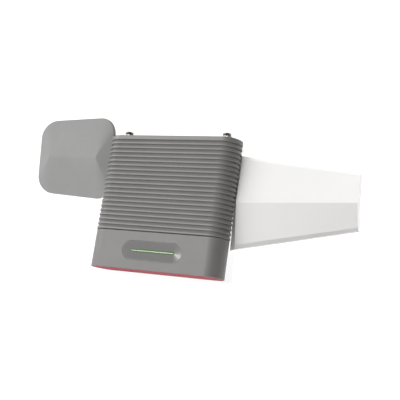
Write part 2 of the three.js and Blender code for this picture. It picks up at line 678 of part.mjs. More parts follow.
add('panel_front_cover', panelFrontCover(), panelGrey, panelUnit);
add('panel_back_cover', panelBackCover(), offWhite, panelUnit);
add('panel_reflector', panelReflector(), aluminium, panelUnit);
add('panel_patch', pad(0, 0, PATCH.width, PATCH.height, PATCH.back, PATCH.front), copper, panelUnit);
add('panel_patch_spacer', patchSpacer(), whitePlastic, panelUnit);
add('panel_port', wellPort(PANEL_JACK.x, PANEL_JACK.y, PANEL_JACK.tip, PANEL_JACK.flange),
  nickel, panelUnit);
add('panel_port_nut', tube(PANEL_JACK.x, PANEL_JACK.y, PORT.nut, PORT.radius + GAP,
  PANEL_JACK.nutBack, PANEL_JACK.nutFront, 6), nickel, panelUnit);
addScrews('panel_screw', PANEL_SCREWS, (x, y) => screw(x, y, 0.1 - PANEL.back, PANEL_SCREW.tip,
  PANEL_SCREW.head, PANEL_SCREW.headHeight, PANEL_SCREW.shank), panelUnit);

// ---------------------------------------------------------------- tilting bracket

// A rod along X, centred on the hinge line
function rodAtPivot(radius, length, x = 0) {
  const rod = new THREE.CylinderGeometry(radius, radius, length, 12).rotateZ(Math.PI / 2);
  return solid(rod.translate(x, 0, pivotZ));
}

function wallBracket() {
  const { width, height, corner, thickness } = BRACKET;
  const plate = roundedPlate(width, height, corner, 0, thickness);
  const holes = [];
  const ears = [];
  for (const side of [-1, 1]) {
    for (const y of [-BRACKET.holeY, BRACKET.holeY]) {
      holes.push(post(side * BRACKET.holeX, y, BRACKET.hole, -THROUGH, thickness + THROUGH));
    }
    const shape = new THREE.Shape();
    shape.moveTo(-PIVOT.earHalf, thickness / 2);
    shape.lineTo(PIVOT.earHalf, thickness / 2);
    shape.lineTo(PIVOT.earHalf, thickness);
    shape.absarc(0, pivotZ, PIVOT.ear, 0, Math.PI);
    shape.lineTo(-PIVOT.earHalf, thickness);
    const options = { depth: PIVOT.earThickness, bevelEnabled: false, curveSegments: 8 };
    const ear = new THREE.ExtrudeGeometry(shape, options);
    ear.rotateX(Math.PI / 2).rotateZ(Math.PI / 2);
    ears.push(solid(ear.translate(side * PIVOT.earX - PIVOT.earThickness / 2, 0, 0)));
  }
  return cut(join([plate, ...ears]), [...holes, rodAtPivot(PIVOT.bore, PIVOT.length)]);
}

function hingeClip(side) {
  const disc = rodAtPivot(CLIP.radius, CLIP.thickness, side * CLIP.x);
  return disc.subtract(rodAtPivot(PIVOT.pin + GAP, CLIP.thickness + 1, side * CLIP.x));
}

add('wall_bracket', wallBracket(), offWhite, bracketUnit);
add('hinge_pin', rodAtPivot(PIVOT.pin, PIVOT.length), steel, bracketUnit);
add('hinge_clip_left', hingeClip(-1), steel, bracketUnit);
add('hinge_clip_right', hingeClip(1), steel, bracketUnit);

// ---------------------------------------------------------------- outdoor antenna

const donorHalf = (x) =>
  (DONOR.wide + (DONOR.narrow - DONOR.wide) * (x / DONOR.length)) / 2;

// The four corners of the tapered outline at one height, drawn in from the sides and the ends
function donorRing(wideInset, narrowInset, endInset, z) {
  const near = endInset;
  const far = DONOR.length - endInset;
  return [
    new THREE.Vector3(near, donorHalf(near) - wideInset, z),
    new THREE.Vector3(near, wideInset - donorHalf(near), z),
    new THREE.Vector3(far, narrowInset - donorHalf(far), z),
    new THREE.Vector3(far, donorHalf(far) - narrowInset, z),
  ];
}

function donorRidge(endInset, z) {
  return [endInset, DONOR.length - endInset].map((x) =>
    new THREE.Vector3(x, DONOR.ridgeShift, z));
}

// A wedge at the foot of the wide end, which slopes out below the roof
function donorToe() {
  const ends = [[-DONOR.toe, DONOR.toeHeight], [1, DONOR.rim]];
  return hull(ends.flatMap(([x, top]) => [-1, 1].flatMap((side) =>
    [0, top].map((z) => new THREE.Vector3(x, side * donorHalf(x), z)))));
}

const donorScrews = DONOR_SCREW_X.flatMap((x) => [-1, 1].map((side) =>
  [x, side * (donorHalf(x) - DONOR_SCREW.inset)]));
const mastHoles = MAST_HOLE.x.flatMap((x) => [[x, -MAST_HOLE.y], [x, MAST_HOLE.y]]);
const boardRests = DONOR_REST.places.flatMap(([x, y]) => [[x, y], [x, -y]]);

function donorRadome() {
  const { wall, rim, shoulder, ridge, bevelWide, bevelNarrow } = DONOR;
  const outside = hull([
    ...donorRing(0, 0, 0, 0), ...donorRing(0, 0, 0, rim),
    ...donorRing(bevelWide, bevelNarrow, 0, shoulder), ...donorRidge(0, ridge)]);
  const inside = hull([
    ...donorRing(wall, wall, wall, -THROUGH), ...donorRing(wall, wall, wall, rim - 0.8),
    ...donorRing(bevelWide + 0.5, bevelNarrow + 0.8, wall, shoulder - wall),
    ...donorRidge(wall, ridge - wall)]);
  const { boss, bore } = DONOR_SCREW;
  const bosses = donorScrews.map(([x, y]) => post(x, y, boss, DONOR.plate + GAP, shoulder, 8));
  const holes = donorScrews.map(([x, y]) => post(x, y, bore, 0, rim, 8));
  return cut(join([outside.add(donorToe()).subtract(inside), ...bosses]), holes);
}

function donorBackPlate() {
  const inset = DONOR.wall + GAP;
  const plate = hull([
    ...donorRing(inset, inset, inset, 0), ...donorRing(inset, inset, inset, DONOR.plate)]);
  const bosses = [
    ...mastHoles.map(([x, y]) => post(x, y, MAST_HOLE.boss, DONOR.plate - 0.1, MAST_HOLE.top)),
    ...boardRests.map(([x, y]) =>
      post(x, y, DONOR_REST.radius, DONOR.plate - 0.1, DONOR_REST.top, 8)),
  ];
  const { radius, wall, top } = DONOR_WELL;
  const well = post(DONOR_JACK_X, 0, radius + wall, 0, top + wall, 16);
  const headRoom = DONOR_SCREW.head + GAP;
  return cut(join([plate, well, ...bosses]), [
    post(DONOR_JACK_X, 0, radius, -THROUGH, top, 16),
    post(DONOR_JACK_X, 0, PORT.radius + GAP, 0, top + wall + 1, 16),
    post(VENT.x, 0, VENT.radius + GAP, -THROUGH, DONOR.plate + THROUGH),
    ...mastHoles.map(([x, y]) => post(x, y, MAST_HOLE.bore, -THROUGH, MAST_HOLE.top + 1)),
    ...donorScrews.map(([x, y]) => post(x, y, headRoom, -THROUGH, DONOR_SCREW.headHeight + GAP, 8)),
    ...donorScrews.map(([x, y]) => post(x, y, DONOR_SCREW.bore + 0.1, 0, DONOR.plate + 1, 8)),
  ]);
}

function antennaBoard() {
  const { near, far, nearHalf, farHalf, back, front } = ANTENNA_BOARD;
  const corners = [[near, nearHalf], [far, farHalf], [far, -farHalf], [near, -nearHalf]];
  return hull(corners.flatMap(([x, y]) => [back, front].map((z) => new THREE.Vector3(x, y, z))));
}

// Dipoles whose length and spacing shrink towards the narrow end, joined by a feed strip
function dipoleElements() {
  const back = ANTENNA_BOARD.front + GAP;
  const front = back + DIPOLE.thickness;
  const { near, far } = ANTENNA_BOARD;
  const bodies = [block(near + 2, far - 2, -DIPOLE.strip / 2, DIPOLE.strip / 2, back, front)];
  let x = DIPOLE.firstX;
  let half = DIPOLE.firstHalf;
  for (let i = 0; i < DIPOLE.count; i += 1) {
    bodies.push(pad(x, 0, DIPOLE.width, 2 * half, back, front));
    x += half * DIPOLE.spacing;
    half *= DIPOLE.shrink;
  }
  return join(bodies);
}

function feedCoax() {
  const line = new THREE.CylinderGeometry(FEED.radius, FEED.radius, FEED.length, 8);
  return solid(line.rotateZ(Math.PI / 2).translate(FEED.x, 0, FEED.z));
}

add('donor_radome', donorRadome(), radomeWhite, donorUnit);
add('donor_back_plate', donorBackPlate(), offWhite, donorUnit);
add('donor_antenna_board', antennaBoard(), ceramic, donorUnit);
add('donor_dipole_elements', dipoleElements(), copper, donorUnit);
add('donor_feed_line', feedCoax(), copper, donorUnit);
add('donor_port', wellPort(DONOR_JACK_X, 0, DONOR_PORT.tip, DONOR_PORT.flange), nickel, donorUnit);
add('donor_port_nut', tube(DONOR_JACK_X, 0, PORT.nut, PORT.radius + GAP,
  DONOR_WELL.top - GAP - PORT.nutThickness, DONOR_WELL.top - GAP, 6), nickel, donorUnit);
addScrews('donor_screw', donorScrews, (x, y) => screw(x, y, 0.2, DONOR_SCREW.tip,
  DONOR_SCREW.head, DONOR_SCREW.headHeight, DONOR_SCREW.shank), donorUnit);
add('donor_vent_plug', post(VENT.x, 0, VENT.radius, GAP, DONOR.plate), blackPlastic, donorUnit);

export default group;
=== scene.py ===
import json
import math

import bmesh
import bpy
from mathutils import Matrix, Vector

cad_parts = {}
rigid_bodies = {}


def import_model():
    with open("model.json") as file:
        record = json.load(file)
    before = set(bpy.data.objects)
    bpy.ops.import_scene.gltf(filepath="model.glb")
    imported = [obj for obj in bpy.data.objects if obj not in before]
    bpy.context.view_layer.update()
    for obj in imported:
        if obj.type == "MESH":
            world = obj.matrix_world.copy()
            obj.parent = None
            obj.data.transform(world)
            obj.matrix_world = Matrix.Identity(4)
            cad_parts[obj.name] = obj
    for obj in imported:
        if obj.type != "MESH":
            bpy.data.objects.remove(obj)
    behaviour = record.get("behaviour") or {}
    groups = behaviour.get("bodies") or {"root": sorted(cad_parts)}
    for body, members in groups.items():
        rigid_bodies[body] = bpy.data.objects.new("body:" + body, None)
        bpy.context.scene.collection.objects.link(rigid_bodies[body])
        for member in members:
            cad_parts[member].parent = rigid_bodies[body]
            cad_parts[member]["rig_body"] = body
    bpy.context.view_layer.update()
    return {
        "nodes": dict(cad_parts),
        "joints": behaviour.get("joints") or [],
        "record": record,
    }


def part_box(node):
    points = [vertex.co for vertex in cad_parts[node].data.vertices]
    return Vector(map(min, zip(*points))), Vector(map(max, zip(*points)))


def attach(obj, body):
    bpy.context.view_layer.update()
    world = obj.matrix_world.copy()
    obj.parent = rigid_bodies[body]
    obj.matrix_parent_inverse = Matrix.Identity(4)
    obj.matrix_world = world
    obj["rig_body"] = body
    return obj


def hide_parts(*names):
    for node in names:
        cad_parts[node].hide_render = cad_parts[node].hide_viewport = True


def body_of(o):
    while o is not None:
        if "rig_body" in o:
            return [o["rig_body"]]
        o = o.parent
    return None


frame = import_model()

# Every size below is in millimetres, in the row frame, and MM turns it into metres.
MM = 0.001

# ---------------------------------------------------------------- sizes from the frame


def box_mm(node):
    """A CAD node's lowest and highest corners at rest."""
    low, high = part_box(node)
    return low / MM, high / MM


SLEEVE_LOW, SLEEVE_HIGH = box_mm("ribbed_sleeve")
BAND_LOW, BAND_HIGH = box_mm("lower_band")
TOP_CAP_LOW, TOP_CAP_HIGH = box_mm("top_cap")
BOTTOM_CAP_LOW, BOTTOM_CAP_HIGH = box_mm("bottom_cap")
REAR_LOW, REAR_HIGH = box_mm("rear_panel")
BEZEL_LOW, BEZEL_HIGH = box_mm("status_bezel")
BAR_LOW, BAR_HIGH = box_mm("light_bar")

RIB_RADIUS = (SLEEVE_HIGH.z - SLEEVE_LOW.z) / 2
BAND_RADIUS = (BAND_HIGH.z - BAND_LOW.z) / 2
FLAT_HALF = SLEEVE_HIGH.x - RIB_RADIUS
MID_Z = SLEEVE_LOW.z + RIB_RADIUS
RIB_COUNT = 21
RIB_DEPTH = 1.7
# Shares of one rib's height where its lip starts and ends, and where its groove reaches the floor
LIP_START = 0.14
LIP_END = 0.38
FLOOR_START = 0.98
# 1 is a straight slope into the groove, and more than 1 holds it up near the lip
FALL_CURVE = 1.4
RIB_STEPS = 20
SLEEVE_LIP = 0.4
BAND_EDGE = 0.5
BAND_LIP = 0.35
CASE_WALL = 2.3
CAVITY_RADIUS = BAND_RADIUS - CASE_WALL
TOP_CAP_RADIUS = (TOP_CAP_HIGH.x - TOP_CAP_LOW.x) / 2 - FLAT_HALF
BOTTOM_CAP_RADIUS = (BOTTOM_CAP_HIGH.x - BOTTOM_CAP_LOW.x) / 2 - FLAT_HALF
CAP_THICKNESS = 2.7
TOP_CAP_PROUD = 0.8
TOP_CAP_EDGE = 0.7
BOTTOM_CAP_EDGE = 0.4
HOOK_X = 50
HOOK_HALF_WIDTH = 4
HOOK_THICKNESS = 1.6
HOOK_OFF_CHASSIS = 4.0
HOOK_EDGE = 0.3
GAP = 0.3
CLEAR = 2.0

STATUS_Y = (BEZEL_LOW.y + BEZEL_HIGH.y) / 2
PILL_WIDTH = 72.4
PILL_HEIGHT = 21.4
VALLEY_DEPTH = 2.0
OPENING_EDGE = 0.2
BEZEL_FLANGE = 5.0
BEZEL_FLANGE_THICKNESS = 1.2
BEZEL_RIM = 0.4
# How far the bezel's outline draws in, and how far below its front, round its outer edge
BEZEL_ROUNDING = ((0.0, 0.2), (0.05, 0.06), (0.15, 0.0))
# How far the light bar's outline draws in, and how far below its top, from its side to its crown
LIGHT_BAR_CROWN = ((0.0, 0.35), (0.15, 0.15), (0.6, 0.03), (1.3, 0.0))

PORT_RADIUS = 4.75
PORT_BORE = 2.9
PORT_BASE = 10
PORT_BORE_DEPTH = 9
PORT_CHAMFER = 0.45
PORT_MOUTH = 0.35
THREAD_PITCH = 0.794
THREAD_DEPTH = 0.3
THREAD_FOOT = 1.2
FLANGE_RADIUS = 5.4
FLANGE_BORE = 3.0
FLANGE_THICKNESS = 2.8
TAIL_HALF_WIDTH = 3
TAIL_LIFT = 1.2
TAIL_EDGE = 0.4
NUT_CHAMFER = 0.45
NUT_MOUTH = 0.3
WASHER_TEETH = 20
WASHER_BITE = 0.9
WASHER_EDGE = 0.1
CORE_RADIUS = 2.6
CORE_BORE = 0.6

PIVOT = Vector(next(j["pos_m"] for j in frame["joints"] if j["name"] == "panel_tilt")) / MM
PIVOT_DEPTH = 6.0
PANEL_TILT = math.radians(9)
PANEL_WIDTH = 102.2
PANEL_HEIGHT = 91.6
PANEL_CORNER_RIGHT = 19.0
PANEL_CORNER_LEFT = 22.0
PANEL_TAPER = 0.06
PANEL_RIDGE = 6.2
PANEL_RIDGE_INSET = 18.6
PANEL_SKIRT = 2.7
PANEL_EDGE = 0.9
# Near the ridge the slopes flatten, so that the ridge is softly rounded
PANEL_SOFT_FROM = 0.93
PANEL_SOFT_SLOPE = 0.55
# How far the hollow draws in from the outline, at each height, from the skirt to under the ridge
PANEL_HOLLOW = ((2.0, -PANEL_SKIRT - CLEAR), (2.0, -1.0), (8.0, 0.2), (18.0, 2.0))

DONOR_LENGTH = 129.2
DONOR_WIDE = 102.3
DONOR_NARROW = 59.1
DONOR_TURN = math.radians(2.9)
DONOR_X = 80.1
DONOR_Y = 11.0
DONOR_WALL = 2.0
DONOR_RIM = 5.5
DONOR_SHOULDER = 8.0
DONOR_RIDGE = 14.5
DONOR_SHIFT = -3.0
DONOR_BEVEL_WIDE = 4.0
DONOR_BEVEL_NARROW = 2.6
DONOR_EDGE = 0.45
# The share of the wall that the inner shoulder moves in by
DONOR_INNER_SHOULDER = 0.4
DONOR_TOE = 7.0
DONOR_TOE_HEIGHT = 1.5
DONOR_STATIONS = 24
BOSS_RADIUS = 3.0
BOSS_BORE = 1.4
BOSS_FOOT = 2.5
BOSS_BEVEL = 0.3

# Each kind of screw: the back of its head, head radius and height, shank radius, and tip
REAR_SCREW = (0.3, 3.0, 1.3, 1.3, 6.1)
DONOR_SCREW = (0.2, 2.6, 0.9, 1.1, 5.0)
PANEL_SCREW = (-7.9, 2.2, 0.6, 1.0, -2.0)
SCREW_PITCH = 0.8
SCREW_THREAD = 0.22

# Width of the rounding on the edges of the simpler pieces
EDGE_WIDTHS = {
    "rear_panel": 0.35, "chassis_plate": 0.3, "main_board": 0.1, "led_board": 0.1,
    "uplink_shield_can": 0.25, "downlink_shield_can": 0.25, "power_shield_can": 0.25,
    "uplink_amplifier": 0.12, "downlink_amplifier": 0.12, "uplink_thermal_pad": 0.12,
    "downlink_thermal_pad": 0.12, "band_filter": 0.2, "filter_capacitor": 0.4,
    "front_heat_spreader": 0.2, "led_strip": 0.08, "led_link_header": 0.1, "power_jack": 0.25,
    "panel_back_cover": 0.3, "panel_reflector": 0.1, "panel_patch": 0.08,
    "panel_patch_spacer": 0.1, "panel_port": 0.15, "panel_port_nut": 0.2, "wall_bracket": 0.3,
    "hinge_pin": 0.15, "hinge_clip_left": 0.12, "hinge_clip_right": 0.12,
    "donor_back_plate": 0.25, "donor_antenna_board": 0.08, "donor_dipole_elements": 0.02,
    "donor_feed_line": 0.1, "donor_port": 0.15, "donor_port_nut": 0.2, "donor_vent_plug": 0.25,
}

FLOOR_REACH = 4000
FLOOR_DROP = 0.1
SKY_TOWARDS = (-0.8, 0.0, 0.6)
SKY_FADE_START = -0.6
SKY_FADE_STOP = 1.0
SKY_DIM = 0.021
SKY_BRIGHT = 0.051
HORIZON_LOW = 0.0
HORIZON_HIGH = 0.1
HORIZON_BRIGHT = 0.8

CAMERA_LENS = 65.68
CAMERA_SENSOR = 36
CAMERA_PLACE = (366.9, -146.2, 717.2)
CAMERA_FORWARD = (-0.415, 0.196, -0.888)
CAMERA_UP = (-0.048, 0.970, 0.237)

PANEL_FRAME = (Matrix.Translation(PIVOT) @ Matrix.Rotation(PANEL_TILT, 4, "X")
               @ Matrix.Translation((0, 0, PIVOT_DEPTH)))
DONOR_FRAME = Matrix.Translation((DONOR_X, DONOR_Y, 0)) @ Matrix.Rotation(DONOR_TURN, 4, "Z")
IDENTITY = Matrix.Identity(4)

# ---------------------------------------------------------------- materials


class Nodes:
    """A small helper that adds shader nodes and links them."""

    def __init__(self, name):
        self.material = bpy.data.materials.new(name)
        self.material.use_nodes = True
        self.tree = self.material.node_tree
        self.bsdf = self.tree.nodes["Principled BSDF"]
        self.coords = self.tree.nodes.new("ShaderNodeTexCoord").outputs["Object"]

    def add(self, kind, **values):
        node = self.tree.nodes.new(kind)
        for key, value in values.items():
            if hasattr(node, key):
                setattr(node, key, value)
            else:
                node.inputs[key.replace("_", " ")].default_value = value
        return node

    def link(self, output, target):
        self.tree.links.new(output, target)

    def noise(self, scale, detail=2.0, stretch=None):
        node = self.add("ShaderNodeTexNoise", Scale=scale, Detail=detail)
        source = self.coords
        if stretch:
            mapping = self.add("ShaderNodeMapping", Scale=stretch)
            self.link(source, mapping.inputs["Vector"])
            source = mapping.outputs["Vector"]
        self.link(source, node.inputs["Vector"])
        return node.outputs["Fac"]

    def remap(self, value, low, high, start=0.3, stop=0.7):
        node = self.add("ShaderNodeMapRange")
        node.inputs["From Min"].default_value = start
        node.inputs["From Max"].default_value = stop
        node.inputs["To Min"].default_value = low
        node.inputs["To Max"].default_value = high
        self.link(value, node.inputs["Value"])
        return node.outputs["Result"]

    def mix(self, factor, a, b, blend="MIX"):
        node = self.tree.nodes.new("ShaderNodeMix")
        node.data_type = "RGBA"
        node.blend_type = blend
        for value, socket in ((factor, node.inputs[0]), (a, node.inputs[6]), (b, node.inputs[7])):
            if isinstance(value, bpy.types.NodeSocket):
                self.link(value, socket)
            elif isinstance(value, (int, float)):
                socket.default_value = value
            else:
                socket.default_value = (*value, 1.0)
        return node.outputs[2]

    def bump(self, height, distance, strength=1.0, below=None):
        node = self.add("ShaderNodeBump", Strength=strength, Distance=distance)
        self.link(height, node.inputs["Height"])
        if below:
            self.link(below, node.inputs["Normal"])
        return node.outputs["Normal"]

    def maths(self, operation, a, b=0.0):
        node = self.add("ShaderNodeMath", operation=operation)
        for value, socket in zip((a, b), node.inputs):
            if isinstance(value, bpy.types.NodeSocket):
                self.link(value, socket)
            else:
                socket.default_value = value
        return node.outputs[0]

    def edges(self, reach=0.0004):
        """1 on rubbed edges and 0 on open faces, from how far rounding would turn the surface."""
        turned_normal = self.add("ShaderNodeBevel", samples=4, Radius=reach)
        geometry = self.tree.nodes.new("ShaderNodeNewGeometry")
        dot = self.add("ShaderNodeVectorMath", operation="DOT_PRODUCT")
        self.link(turned_normal.outputs["Normal"], dot.inputs[0])
        self.link(geometry.outputs["Normal"], dot.inputs[1])
        return self.remap(dot.outputs["Value"], 1.0, 0.0, 0.75, 0.97)


def scaled(colour, factor):
    """A colour made darker or lighter."""
    return tuple(min(1.0, c * factor) for c in colour)


def groove_depth(n):
    """0 on the ribs and 1 at the foot of the grooves, from the distance to the casing's middle; it
    sets where painted shade darkens the grooves.
    """
    split = n.add("ShaderNodeSeparateXYZ")
    n.link(n.coords, split.inputs[0])
    across = n.maths("SUBTRACT", n.maths("ABSOLUTE", split.outputs["X"]), FLAT_HALF * MM)
    across = n.maths("MAXIMUM", across, 0.0)
    out = n.maths("ABSOLUTE", n.maths("SUBTRACT", split.outputs["Z"], MID_Z * MM))
    square = n.maths("ADD", n.maths("POWER", across, 2.0), n.maths("POWER", out, 2.0))
    radius = n.maths("SQRT", square)
    return n.remap(radius, 1.0, 0.0, (RIB_RADIUS - RIB_DEPTH) * MM, RIB_RADIUS * MM)


def moulded_plastic(name, colour, roughness=0.5, grain=2600, relief=0.00002, wear=0.25, ribs=0.0,
                    gloss=0.4, mottle=0.04):
    """Moulded plastic: a fine spark-eroded grain, faint flow marks, rubbed edges, and painted shade
    that darkens the grooves with depth.
    """
    n = Nodes(name)
    n.bsdf.inputs["Specular IOR Level"].default_value = gloss
    fine = n.noise(grain, 3)
    flow = n.noise(28, 4)
    speckle = n.remap(n.noise(grain * 0.45, 1), 0.0, 1.0, 0.35, 0.65)
    base = n.mix(n.remap(flow, 0.0, 1.0), scaled(colour, 1 - mottle), scaled(colour, 1 + mottle))
    darker = (1 - mottle, 1 - mottle, 1 - mottle)
    base = n.mix(speckle, n.mix(1.0, base, darker, "MULTIPLY"), base)
    worn = n.mix(n.edges(), (0.0, 0.0, 0.0), (wear, wear, wear))
    base = n.mix(worn, base, scaled(colour, 1.5))
    # Painted shade: ribs sets how far the colour darkens towards 0.4 of itself at the foot of the
    # grooves, standing in for the shade under each rib.
    if ribs:
        base = n.mix(n.remap(groove_depth(n), 0.0, ribs, 0.0, 1.0), base, scaled(colour, 0.4))
    n.link(base, n.bsdf.inputs["Base Color"])
    n.link(n.remap(fine, roughness - 0.07, roughness + 0.07), n.bsdf.inputs["Roughness"])
    soft = n.bump(flow, 0.0002, 0.15)
    n.link(n.bump(fine, relief, 0.55, soft), n.bsdf.inputs["Normal"])
    return n.material


def plated_metal(name, colour, roughness=0.28, scratch=(1, 1, 1), relief=0.00001):
    """Plated or rolled metal: fine directional scratches, cloudy tarnish, bright edges."""
    n = Nodes(name)
    n.bsdf.inputs["Metallic"].default_value = 1.0
    lines = n.noise(1800, 3, scratch)
    cloud = n.noise(130, 4)
    base = n.mix(n.remap(cloud, 0.0, 1.0), scaled(colour, 0.82), colour)
    base = n.mix(n.edges(0.00015), base, scaled(colour, 1.3))
    n.link(base, n.bsdf.inputs["Base Color"])
    n.link(n.remap(lines, roughness - 0.06, roughness + 0.12), n.bsdf.inputs["Roughness"])
    n.link(n.bump(lines, relief, 0.4), n.bsdf.inputs["Normal"])
    return n.material


def lit_guide(name, colour, strength):
    """A glowing light guide, brighter over each lamp behind it."""
    n = Nodes(name)
    wave = n.add("ShaderNodeTexWave", Scale=16.0, Distortion=0.0, Detail=0.0)
    n.link(n.coords, wave.inputs["Vector"])
    cloud = n.noise(900, 2)
    glow = n.mix(n.remap(wave.outputs["Fac"], 0.0, 1.0, 0.0, 1.0), scaled(colour, 0.75), colour)
    glow = n.mix(n.remap(cloud, 0.0, 0.3), glow, scaled(colour, 1.35))
    n.link(glow, n.bsdf.inputs["Base Color"])
    n.link(glow, n.bsdf.inputs["Emission Color"])
    n.bsdf.inputs["Emission Strength"].default_value = strength
    n.link(n.remap(cloud, 0.2, 0.35), n.bsdf.inputs["Roughness"])
    n.link(n.bump(cloud, 0.00002, 0.4), n.bsdf.inputs["Normal"])
    return n.material


def circuit_board(name):
    """Green solder mask over copper traces, with tinned pads."""
    n = Nodes(name)
    traces = n.add("ShaderNodeTexBrick", Scale=220.0)
    traces.inputs["Mortar Size"].default_value = 0.08
    n.link(n.coords, traces.inputs["Vector"])
    base = n.mix(traces.outputs["Fac"], (0.012, 0.10, 0.035), (0.02, 0.17, 0.06))
    pads = n.add("ShaderNodeTexVoronoi", Scale=420.0)
    n.link(n.coords, pads.inputs["Vector"])
    spots = n.remap(pads.outputs["Distance"], 1.0, 0.0, 0.12, 0.16)
    base = n.mix(spots, base, (0.62, 0.60, 0.52))
    n.link(base, n.bsdf.inputs["Base Color"])
    n.link(n.remap(spots, 0.45, 0.25, 0.0, 1.0), n.bsdf.inputs["Roughness"])
    n.link(n.bump(traces.outputs["Fac"], 0.00003, 0.5), n.bsdf.inputs["Normal"])
    return n.material


CASING_GREY = (0.240, 0.2365, 0.232)
RADOME_WHITE = (0.84, 0.833, 0.815)

MAT = {
    "amplifier_grey": moulded_plastic("amplifier_grey", CASING_GREY, 0.5, gloss=0.3),
    # ribbed_grey carries painted shade in its grooves, through ribs=0.22.
    "ribbed_grey": moulded_plastic("ribbed_grey", CASING_GREY, 0.48, ribs=0.22, gloss=0.48),
    "bezel_grey": moulded_plastic("bezel_grey", (0.198, 0.195, 0.191), 0.3, 3200, 0.00001, gloss=0.6),
    "accent_red": moulded_plastic("accent_red", (0.36, 0.046, 0.066), 0.6, 2400, 0.00002, gloss=0.12),
    "panel_grey": moulded_plastic("panel_grey", (0.325, 0.323, 0.321), 0.6, 2400),
    "off_white": moulded_plastic("off_white", (0.72, 0.71, 0.68), 0.5, 2200),
    "radome_white": moulded_plastic("radome_white", RADOME_WHITE, 0.5, 1900, 0.00001, 0.1,
                                    mottle=0.012),
    "white_plastic": moulded_plastic("white_plastic", (0.82, 0.82, 0.78), 0.4),
    "black_plastic": moulded_plastic("black_plastic", (0.02, 0.02, 0.021), 0.42),
    "thermal_pad": moulded_plastic("thermal_pad", (0.25, 0.31, 0.40), 0.85, 900),
    "ceramic": moulded_plastic("ceramic", (0.68, 0.64, 0.54), 0.7, 1500),
    "laminate": moulded_plastic("laminate", (0.50, 0.46, 0.28), 0.5, 700),
    "nickel": plated_metal("nickel", (0.3, 0.295, 0.285), 0.4, (1, 0.15, 1)),
    "steel": plated_metal("steel", (0.52, 0.52, 0.52), 0.34),
    "aluminium": plated_metal("aluminium", (0.66, 0.67, 0.68), 0.42, (0.1, 1, 1)),
    "tin_plate": plated_metal("tin_plate", (0.64, 0.64, 0.61), 0.36, (1, 0.1, 1)),
    "copper": plated_metal("copper", (0.72, 0.37, 0.22), 0.38, (0.2, 1, 1)),
    "status_green": lit_guide("status_green", (0.12, 0.25, 0.062), 0.24),
    "circuit_board": circuit_board("circuit_board"),
}

# ---------------------------------------------------------------- mesh tools


def new_object(name, verts, faces, place=IDENTITY):
    """An object from points in millimetres, turned and moved into its place."""
    mesh = bpy.data.meshes.new(name)
    mesh.from_pydata([place @ Vector(v) * MM for v in verts], [], faces)
    obj = bpy.data.objects.new(name, mesh)
    bpy.context.scene.collection.objects.link(obj)
    tidy(obj)
    return obj


def tidy(obj):
    """Weld stray doubles and point every face out."""
    bm = bmesh.new()
    bm.from_mesh(obj.data)
    bmesh.ops.remove_doubles(bm, verts=bm.verts, dist=1e-6)
    bmesh.ops.recalc_face_normals(bm, faces=bm.faces)
    bm.to_mesh(obj.data)
    bm.free()


def apply_modifiers(obj):
    """Make the modifiers' result the object's own mesh."""
    depsgraph = bpy.context.evaluated_depsgraph_get()
    mesh = bpy.data.meshes.new_from_object(obj.evaluated_get(depsgraph))
    obj.modifiers.clear()
    old = obj.data
    obj.data = mesh
    bpy.data.meshes.remove(old)


def cut(obj, cutters):
    """Cut the cutters out of obj and throw them away."""
    for cutter in cutters:
        modifier = obj.modifiers.new("cut", "BOOLEAN")
        modifier.operation = "DIFFERENCE"
        modifier.solver = "EXACT"
        modifier.object = cutter
    apply_modifiers(obj)
    for cutter in cutters:
        bpy.data.objects.remove(cutter)
    return obj


def bevel(obj, width, segments=3, angle=30):
    """Round every edge sharper than angle, in degrees."""
    modifier = obj.modifiers.new("bevel", "BEVEL")
    modifier.width = width * MM
    modifier.segments = segments
    modifier.limit_method = "ANGLE"
    modifier.angle_limit = math.radians(angle)
    modifier.harden_normals = False
    apply_modifiers(obj)
    return obj


def piece(obj, body, material, slot, *nodes, sharp=35):
    """Give obj its finish, its body, and the CAD nodes that it stands for."""
    obj.data.materials.clear()
    obj.data.materials.append(MAT[material])
    obj.data.shade_smooth()
    obj.data.set_sharp_from_angle(angle=math.radians(sharp))
    weighted = obj.modifiers.new("weighted", "WEIGHTED_NORMAL")
    weighted.keep_sharp = True
    apply_modifiers(obj)
    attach(obj, body)
    if nodes:
        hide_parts(*nodes)
    return obj


def loft(rings, wrap=False):
    """Quads through rings of points. wrap joins the last ring to the first, or else the ends close."""
    count = len(rings[0])
    verts = [point for ring in rings for point in ring]
    faces = []
    spans = len(rings) if wrap else len(rings) - 1
    for r in range(spans):
        low = r * count
        high = ((r + 1) % len(rings)) * count
        for i in range(count):
            j = (i + 1) % count
            faces.append((low + i, low + j, high + j, high + i))
    if not wrap:
        faces.append(tuple(range(count - 1, -1, -1)))
        faces.append(tuple(range((len(rings) - 1) * count, len(rings) * count)))
    return verts, faces


def stadium(radius, y, steps=36):
    """The amplifier's section at one height."""
    ring = []
    for side in (1, -1):
        for i in range(steps + 1):
            angle = side * math.pi / 2 - math.pi * i / steps
            x = side * FLAT_HALF + radius * math.cos(angle)
            ring.append((x, y, MID_Z + radius * math.sin(angle)))
    return ring


def pill_outline(width, height, steps=24):
    """Points round a slot with round ends, centred on the status recess."""
    reach = (width - height) / 2
    points = []
    for side in (1, -1):
        for i in range(steps + 1):
            angle = math.pi * i / steps - side * math.pi / 2
            x = side * reach + height / 2 * math.cos(angle)
            points.append((x, STATUS_Y + height / 2 * math.sin(angle)))
    return points


def pill(name, width, height, z0, z1):
    """A straight block with the status recess's round-ended outline."""
    outline = pill_outline(width, height)
    rings = [[(x, y, z) for x, y in outline] for z in (z0, z1)]
    return new_object(name, *loft(rings))


